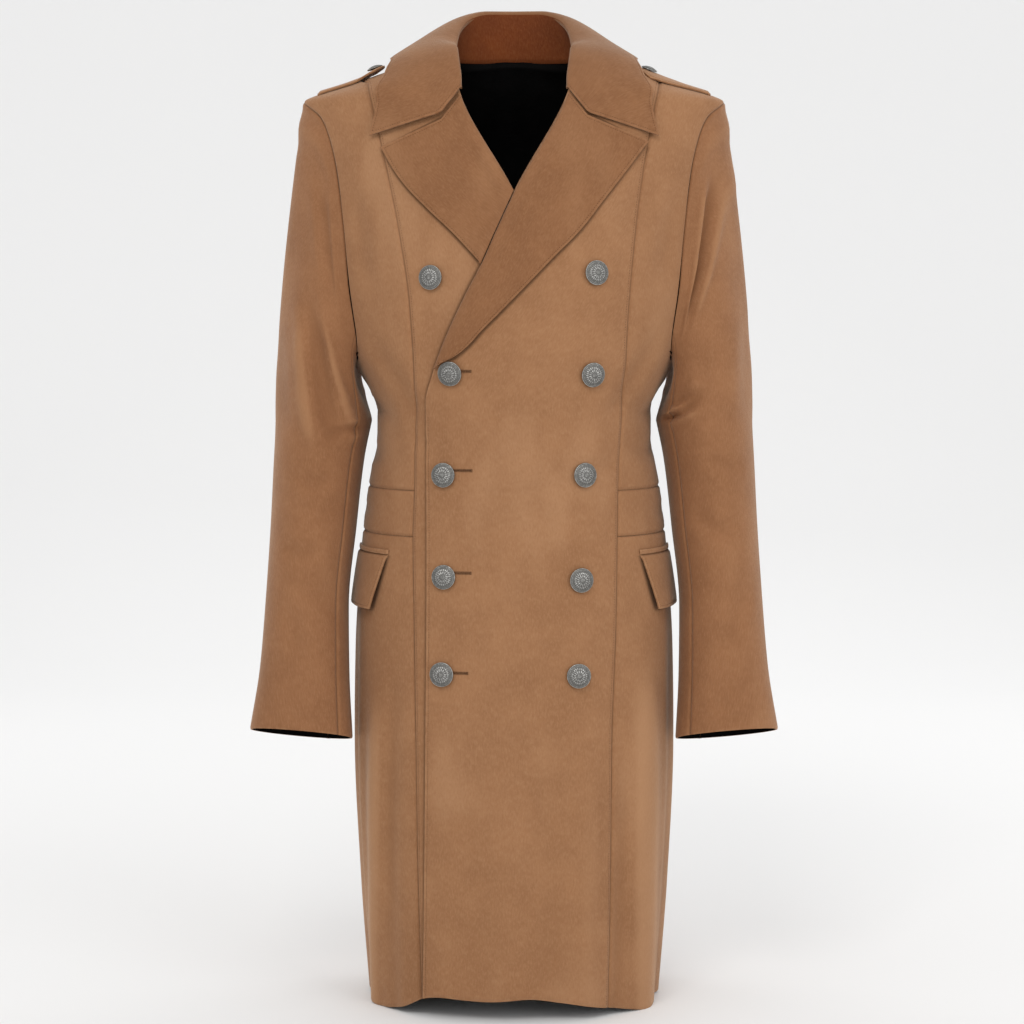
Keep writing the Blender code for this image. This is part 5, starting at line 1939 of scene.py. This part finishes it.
@dataclass(frozen=True)
class StrapEnd:
    """A strap's free end: how far across, its front and back, and how far it springs up."""

    x: float
    y: tuple[float, float]
    spring: float


STRAP_ENDS = {
    Side.LEFT: StrapEnd(0.1290, (-0.043, 0.0), 0.0010),
    Side.RIGHT: StrapEnd(0.1330, (-0.026, 0.018), 0.0040),
}


@dataclass
class Straps:
    """Shoulder straps, from the armhole seam to a rounded free end."""

    looks: Looks
    outer_x: float = 0.2040
    seam_y: tuple[float, float] = (-0.023, 0.018)
    lift: float = 0.0010
    from_end: float = 0.0100  # of the button's middle
    tip: float = 0.011  # how far the corners of the free end are cut back
    tip_power: float = 2.4
    crown: float = 0.0006
    made: dict[str, Cloth] = field(default_factory=dict)

    def spot(self, side: Side, s: Array, t: Array, height: Array) -> Array:
        """Points over the shoulder: s from the armhole to the free end, t from front to back."""
        tip = self.tip * np.abs(2 * t - 1) ** self.tip_power
        end = STRAP_ENDS[side]
        x = mix(self.outer_x, end.x + tip, s)
        y = mix(mix(self.seam_y[0], end.y[0], s), mix(self.seam_y[1], end.y[1], s), t)
        step = 0.002
        z = BodyForm.top(x, y)
        along_x = np.stack([np.full(x.shape, step), 0 * x, BodyForm.top(x + step, y) - z], -1)
        along_y = np.stack([0 * x, np.full(x.shape, step), BodyForm.top(x, y + step) - z], -1)
        spot = np.stack([x, y, z], -1) + unit(np.cross(along_x, along_y)) * np.asarray(height)[..., None]
        return spot * np.array((side.value, 1, 1))

    def strap(self, side: Side) -> None:
        """Makes one strap."""

        def surface(s: Array, t: Array, lift: Array) -> Array:
            """Points of the strap."""
            spring = STRAP_ENDS[side].spring * ease((s - 0.6) / 0.4)
            up = self.lift + spring + self.crown * np.sin(pi * t)
            return self.spot(side, s, t, up + CAD_WALL + lift)

        name = f"epaulette_{side.word}"
        cut = Cut((0.095, 0.045), "laid", (f"front_{side.word}", f"side_chest_{side.word}"))
        edges, stitched = (SEAM, FOLDED, FOLDED, FOLDED), (False, True, True, True)
        cloth = Cloth(name, surface, self.looks, cut, edges, stitched=stitched, spacing=FINEST_GRID)
        cloth.build()
        self.made[name] = cloth

    def build(self) -> None:
        """Makes both straps."""
        for side in Side:
            self.strap(side)


@dataclass
class Stitching:
    """Lines of sewn stitches, each a small bead of thread sunk into the cloth."""

    thread: bpy.types.Material
    pitch: float = 0.0026
    half_length: float = 0.00078
    half_width: float = 0.00026
    flatness: float = 0.85
    sunk: float = 0.00004
    look_ahead: float = 0.0005  # how far from a stitch its way is read
    template: bpy.types.Mesh = field(init=False)

    def __post_init__(self) -> None:
        """Makes the round bead that every stitch is stretched from."""
        bm = bmesh.new()
        bmesh.ops.create_uvsphere(bm, u_segments=6, v_segments=4, radius=1.0)
        self.template = bpy.data.meshes.new("bead")
        bm.to_mesh(self.template)
        bm.free()

    def bead(self, bm: bmesh.types.BMesh, spot: Array, way: Array, up: Array, half: float) -> None:
        """Adds one stitch.

        Args:
            bm: The mesh that it goes to.
            spot: Its middle.
            way: The way it runs.
            up: The way out of the cloth.
            half: Half its length.
        """
        across = unit(np.cross(up, way))
        matrix = Matrix.Identity(4)
        sizes = (half, self.half_width, self.half_width * self.flatness)
        for column, (axis, size) in enumerate(zip((way, across, np.cross(way, across)), sizes)):
            for row in range(3):
                matrix[row][column] = axis[row] * size
        matrix.translation = Vector(spot)
        self.template.transform(matrix)
        bm.from_mesh(self.template)
        self.template.transform(matrix.inverted())

    def finish(
        self, name: str, bm: bmesh.types.BMesh, material: bpy.types.Material | None = None
    ) -> None:
        """Turns the mesh into a piece, of this thread if no material is given."""
        bmesh.ops.recalc_face_normals(bm, faces=bm.faces)
        mesh = finished(name, bm)
        add_piece(name, mesh, (material or self.thread,))

    def run(self, bm: bmesh.types.BMesh, points: Array, normals: Array) -> int:
        """Adds a line of stitches along a path.

        Args:
            bm: The mesh that they go to.
            points: The path.
            normals: The ways out of the cloth along it.

        Returns:
            How many stitches it took.
        """
        passed = distances_along(points)
        count = max(1, round(passed[-1] / self.pitch))
        places = (np.arange(count) + 0.5) * passed[-1] / count

        def read(table: Array, where: Array) -> Array:
            """Vectors of a table at distances along the path."""
            return np.stack([np.interp(where, passed, table[:, i]) for i in range(3)], -1)

        ups = unit(read(normals, places))
        ways = unit(read(points, places + self.look_ahead) - read(points, places - self.look_ahead))
        ways = unit(ways - ups * np.sum(ways * ups, -1, keepdims=True))
        for spot, way, up in zip(read(points, places), ways, ups):
            self.bead(bm, spot - up * self.sunk, way, up, self.half_length)
        return count

    def edges(self, cloth: Cloth, keep: Callable[[Array], Array] | None = None) -> None:
        """Sews the stitched borders of a piece of cloth.

        Args:
            cloth: The piece, already built.
            keep: Picks which points of a line are sewn.
        """
        bm = bmesh.new()
        total = 0
        for border, stitched in enumerate(cloth.stitched):
            if not stitched:
                continue
            points, normals = cloth.beside(border, STITCH_AT)
            if keep is not None:
                kept = keep(points)
                points, normals = points[kept], normals[kept]
            total += self.run(bm, points, normals)
        self.finish(f"stitches_{cloth.name}", bm)
        LOG.info("stitches_%s: %d stitches", cloth.name, total)


@dataclass(frozen=True)
class Buttonhole:
    """A worked buttonhole: height, and its two ends across."""

    name: str
    z: float
    low_x: float
    high_x: float


BUTTONHOLES = (
    Buttonhole("buttonhole_2", -0.3059, -0.0700, -0.0430),
    Buttonhole("buttonhole_3", -0.4065, -0.0700, -0.0420),
    Buttonhole("buttonhole_4", -0.5104, -0.0700, -0.0430),
    Buttonhole("buttonhole_5", -0.6123, -0.0700, -0.0465),
)


@dataclass
class Buttonholes:
    """The four buttonholes of the front on top, under the buttons' rims."""

    stitching: Stitching
    # Material of the slits, which paints the shade in the cut.
    dark: bpy.types.Material
    step: float = 0.00085  # from one stitch to the next, and half the length of each
    beside: float = 0.00095  # how far above and below the slit the stitches are
    end_beside: float = 0.0011
    end_half: float = 0.0009
    slit_lift: float = 0.00005
    side_lift: float = 0.00015
    end_lift: float = 0.0002

    @staticmethod
    def spot(x: Array, z: Array, lift: float) -> tuple[Array, Array]:
        """Points on the front, and the ways out of it."""
        x, z = np.broadcast_arrays(np.asarray(x, float), np.asarray(z, float))
        angle = BodyForm.angle_at(x, z)
        height = LAYER + fold_heights(BODY_FOLDS, BODY_SCALE, angle, z) + lift
        return BodyForm.lifted(angle, z, height), BodyForm.normal(angle, z)

    def build(self) -> None:
        """Makes the slits, as dark beads of painted shade, and the stitches round them."""
        slits = bmesh.new()
        bm = bmesh.new()
        for hole in BUTTONHOLES:
            x = np.arange(hole.low_x, hole.high_x, self.step)
            middle, up = self.spot(x, np.full(x.shape, hole.z), self.slit_lift)
            for i in range(len(x) - 1):
                way = unit(middle[i + 1] - middle[i])
                between = (middle[i] + middle[i + 1]) / 2
                self.stitching.bead(slits, between, way, up[i], self.step * 0.8)
            for sign in (1, -1):
                row = np.full(x.shape, hole.z + sign * self.beside)
                inner, up = self.spot(x, row, self.side_lift)
                for spot, out in zip(inner, up):
                    upright = unit(np.array((0.0, 0.0, 1.0)) - out * out[2])
                    self.stitching.bead(bm, spot, upright, out, self.step)
            column = hole.z + np.array((-self.end_beside, 0.0, self.end_beside))
            ends, up = self.spot(np.full(3, hole.high_x), column, self.end_lift)
            for spot, out in zip(ends, up):
                way = unit(np.cross((0.0, 0.0, 1.0), out))
                self.stitching.bead(bm, spot, way, out, self.end_half)
        self.stitching.finish("buttonhole_slits", slits, self.dark)
        self.stitching.finish("buttonhole_stitches", bm)


# Buttons: place across, height, lean across and lean up in degrees.
BUTTONS = {
    "button_chest_right": (-0.0836, -0.2120, -22, 4),
    "button_chest_left": (0.0815, -0.2075, 24, 4),
    "button_2_right": (-0.0635, -0.3080, -6, -8),
    "button_2_left": (0.0778, -0.3091, 2, 4),
    "button_3_right": (-0.0700, -0.4115, 2, 2),
    "button_3_left": (0.0700, -0.4115, 14, 2),
    "button_4_right": (-0.0701, -0.5150, 2, 4),
    "button_4_left": (0.0670, -0.5180, 4, -6),
    "button_5_right": (-0.0723, -0.6141, 4, 6),
    "button_5_left": (0.0646, -0.6154, -12, 8),
}
LEAN_SHARE = 0.35


@dataclass
class Buttons:
    """Domed cast buttons: a rolled rim, a rope ring, a ring of dots and rings of plain leaves."""

    metal: bpy.types.Material
    straps: Straps
    diameter: float = 0.025
    small: float = 0.017
    height: float = 0.0070
    sides: int = 168
    relief: float = 0.00055
    sunk: float = 0.55  # the relief's height that lies on the plain face
    face_from: float = 0.53  # share of the height above which the face is
    plain_tone: float = 0.45  # of what isn't the face

    def profile(self) -> list[tuple[float, float]]:
        """The outline as shares of radius and height, from the shank over the rim to the crown."""
        shank = [(0.0, 0.0), (0.30, 0.0), (0.30, 0.22)]
        under = [(0.60, 0.235), (0.93, 0.26), (0.985, 0.32), (1.0, 0.40)]
        rim = [(0.995, 0.47), (0.975, 0.535), (0.945, 0.56)]
        top = [(r, 1 - 0.44 * (r / 0.95) ** 1.7) for r in np.linspace(0.925, 0.0, 38)]
        return shank + under + rim + top

    def embossing(self, radius: Array, turn: Array) -> Array:
        """Heights of the face's relief, from 0 in the recesses to 1.

        Args:
            radius: Shares of the radius.
            turn: Angles in radians.

        Returns:
            Heights.
        """
        rim = np.exp(-(((radius - 0.965) / 0.022) ** 2))
        rope = np.exp(-(((radius - 0.855) / 0.034) ** 4)) * (0.5 + 0.5 * np.sin(turn * 46 + radius * 70))
        dots = np.exp(-(((radius - 0.755) / 0.026) ** 2)) * (0.5 + 0.5 * np.cos(turn * 32)) ** 2
        outer = self.leaves(radius, turn, 24, (0.47, 0.72))
        middle = self.leaves(radius, turn + 0.2, 14, (0.20, 0.52))
        x, y = radius * np.cos(turn), radius * np.sin(turn)
        scales = 0.5 + 0.5 * np.cos((x + y) * 48) * np.cos((x - y) * 48)
        scales = scales * (1 - ease((radius - 0.16) / 0.08))
        rings = rim * 0.9 + rope * 0.8 + dots * 0.8
        return np.clip(rings + outer * 0.8 + middle * 0.85 + scales * 0.8, 0, 1)

    @staticmethod
    def leaves(radius: Array, turn: Array, count: int, span: tuple[float, float]) -> Array:
        """One ring of veined leaves, from 0 between them to 1."""
        swing = np.abs(((turn * count / (2 * pi)) % 1.0) - 0.5) * 2
        wide = np.sin(pi * np.clip((radius - span[0]) / (span[1] - span[0]), 0, 1)) ** 0.8 * 0.82
        vein = 1 - 0.5 * np.exp(-((swing / 0.12) ** 2))
        return ease(np.clip((wide - swing) / 0.3, 0, 1)) * vein

    def mesh(self, name: str, diameter: float, spin: float) -> bpy.types.Mesh:
        """Turns the profile round, and raises the relief on its face.

        Args:
            name: The mesh's name.
            diameter: The button's diameter.
            spin: How far the relief is turned, in radians.

        Returns:
            The mesh, standing on the origin and facing up.
        """
        radius, tall = diameter / 2, self.height * diameter / self.diameter
        bm = bmesh.new()
        line = [bm.verts.new((r * radius, 0, h * tall)) for r, h in self.profile()]
        edges = [bm.edges.new(ends) for ends in zip(line, line[1:])]
        bmesh.ops.spin(
            bm,
            geom=line + edges,
            cent=(0, 0, 0),
            axis=(0, 0, 1),
            angle=2 * pi,
            steps=self.sides,
            use_merge=True,
        )
        bmesh.ops.remove_doubles(bm, verts=bm.verts, dist=1e-6)
        bmesh.ops.recalc_face_normals(bm, faces=bm.faces)
        mesh = finished(name, bm)
        spots = np.empty(len(mesh.vertices) * 3)
        mesh.vertices.foreach_get("co", spots)
        spots = spots.reshape(-1, 3)
        share = np.hypot(spots[:, 0], spots[:, 1]) / radius
        face = (spots[:, 2] > self.face_from * tall) & (share < 0.99)
        relief = self.embossing(share, np.arctan2(spots[:, 1], spots[:, 0]) + spin) * face
        spots[:, 2] += (relief - self.sunk) * self.relief * diameter / self.diameter * face
        mesh.vertices.foreach_set("co", spots.ravel())
        write(mesh, "relief", np.where(face, relief, self.plain_tone))
        return mesh

    def place(self, name: str, diameter: float, facing: Array, spin: float) -> None:
        """Makes a button where its solid is.

        Args:
            name: The solid's name.
            diameter: The button's diameter.
            facing: The way it faces.
            spin: How far its relief is turned, in radians.
        """
        low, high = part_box(name)
        tall = self.height * diameter / self.diameter
        foot = (low + high) / 2 - Vector(facing) * tall / 2
        mesh = self.mesh(f"{name}_cast", diameter, spin)
        turn = Vector((0, 0, 1)).rotation_difference(Vector(facing)).to_matrix().to_4x4()
        mesh.transform(Matrix.Translation(foot) @ turn)
        piece = add_piece(f"{name}_cast", mesh, (self.metal,))
        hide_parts(name)

    def build(self) -> None:
        """Makes all twelve."""
        for i, (name, (x, z, lean, nod)) in enumerate(BUTTONS.items()):
            z = np.array(z)
            out = BodyForm.normal(BodyForm.angle_at(np.array(x), z), z)
            lean_way = np.array((sin(radians(lean)), 0, sin(radians(nod)))) * LEAN_SHARE
            self.place(name, self.diameter, unit(out + lean_way), i * 0.7)
        for side in Side:
            share = 1 - self.straps.from_end / (self.straps.outer_x - STRAP_ENDS[side].x)
            s, t = np.array([share]), np.array([0.5])
            ends = [self.straps.spot(side, s, t, np.array([h]))[0] for h in (0.0, 0.05)]
            self.place(f"button_epaulette_{side.word}", self.small, unit(ends[1] - ends[0]), side.value * 0.4)
        LOG.info("buttons: %d", len(BUTTONS) + 2)


def below_break(points: Array) -> Array:
    """Picks the points of the front edge below the lapel, and all of the princess seam."""
    return (points[:, 0] > 0) | (points[:, 2] < BREAK_Z)


def main() -> None:
    """Builds the coat piece by piece, then the studio."""
    logging.basicConfig(level=logging.INFO, format="%(name)s %(message)s")
    wool = WoolCloth(
        "wool",
        colour=(0.312, 0.152, 0.070, 1.0),
        pale=(0.395, 0.212, 0.108, 1.0),
        dark=(0.228, 0.103, 0.044, 1.0),
    ).build()
    # The sleeves' wool is a darker copy of the body's: painted shade.
    sleeve = WoolCloth(
        "wool_sleeve_shaded",
        colour=(0.276, 0.125, 0.055, 1.0),
        pale=(0.350, 0.178, 0.086, 1.0),
        dark=(0.200, 0.085, 0.035, 1.0),
    ).build()
    # The lapels' and collar's wool is a darker copy of the body's: painted shade.
    turned = WoolCloth(
        "wool_turned_shaded",
        colour=(0.238, 0.106, 0.045, 1.0),
        pale=(0.305, 0.150, 0.070, 1.0),
        dark=(0.172, 0.072, 0.029, 1.0),
    ).build()
    # The stand's wool is a darker, redder copy of the body's: painted shade and painted bounced light inside
    # the collar.
    inner = WoolCloth(
        "wool_inside_shaded",
        colour=(0.158, 0.037, 0.006, 1.0),
        pale=(0.205, 0.060, 0.014, 1.0),
        dark=(0.100, 0.022, 0.004, 1.0),
        sheen=0.02,
    ).build()
    lining = SatinLining().build()
    # The thread is darker than the cloth: partly its own colour, partly painted shade of the stitch holes.
    thread = Thread("thread", (0.085, 0.034, 0.014, 1.0)).build()
    # Near-black beads stand for the buttonhole slits: painted shade in the cut.
    slit_shade = Thread("slit_shade", (0.050, 0.022, 0.011, 1.0)).build()
    metal = AntiqueSilver().build()
    looks = Looks(wool, lining, Slot.WOOL)
    doubled = Looks(wool, wool, Slot.WOOL)
    rolled = Looks(turned, turned, Slot.WOOL)
    panels = BodyPanels(looks)
    panels.build()
    Sleeves(Looks(sleeve, lining, Slot.WOOL)).build()
    lapels = Lapels(rolled)
    lapels.build()
    collar = Collar(rolled, Looks(inner, inner, Slot.WOOL))
    collar.build()
    Lining(Looks(lining, lining, Slot.LINING)).build()
    pockets = Pockets(doubled)
    pockets.build()
    straps = Straps(doubled)
    straps.build()
    Buttons(metal, straps).build()
    stitching = Stitching(thread)
    for group in (lapels, collar, pockets, straps):
        for cloth in group.made.values():
            stitching.edges(cloth)
    stitching.edges(panels.made["front_right"])
    stitching.edges(panels.made["front_left"], below_break)
    Buttonholes(stitching, slit_shade).build()
    Studio().build()


if __name__ == "__main__":
    main()
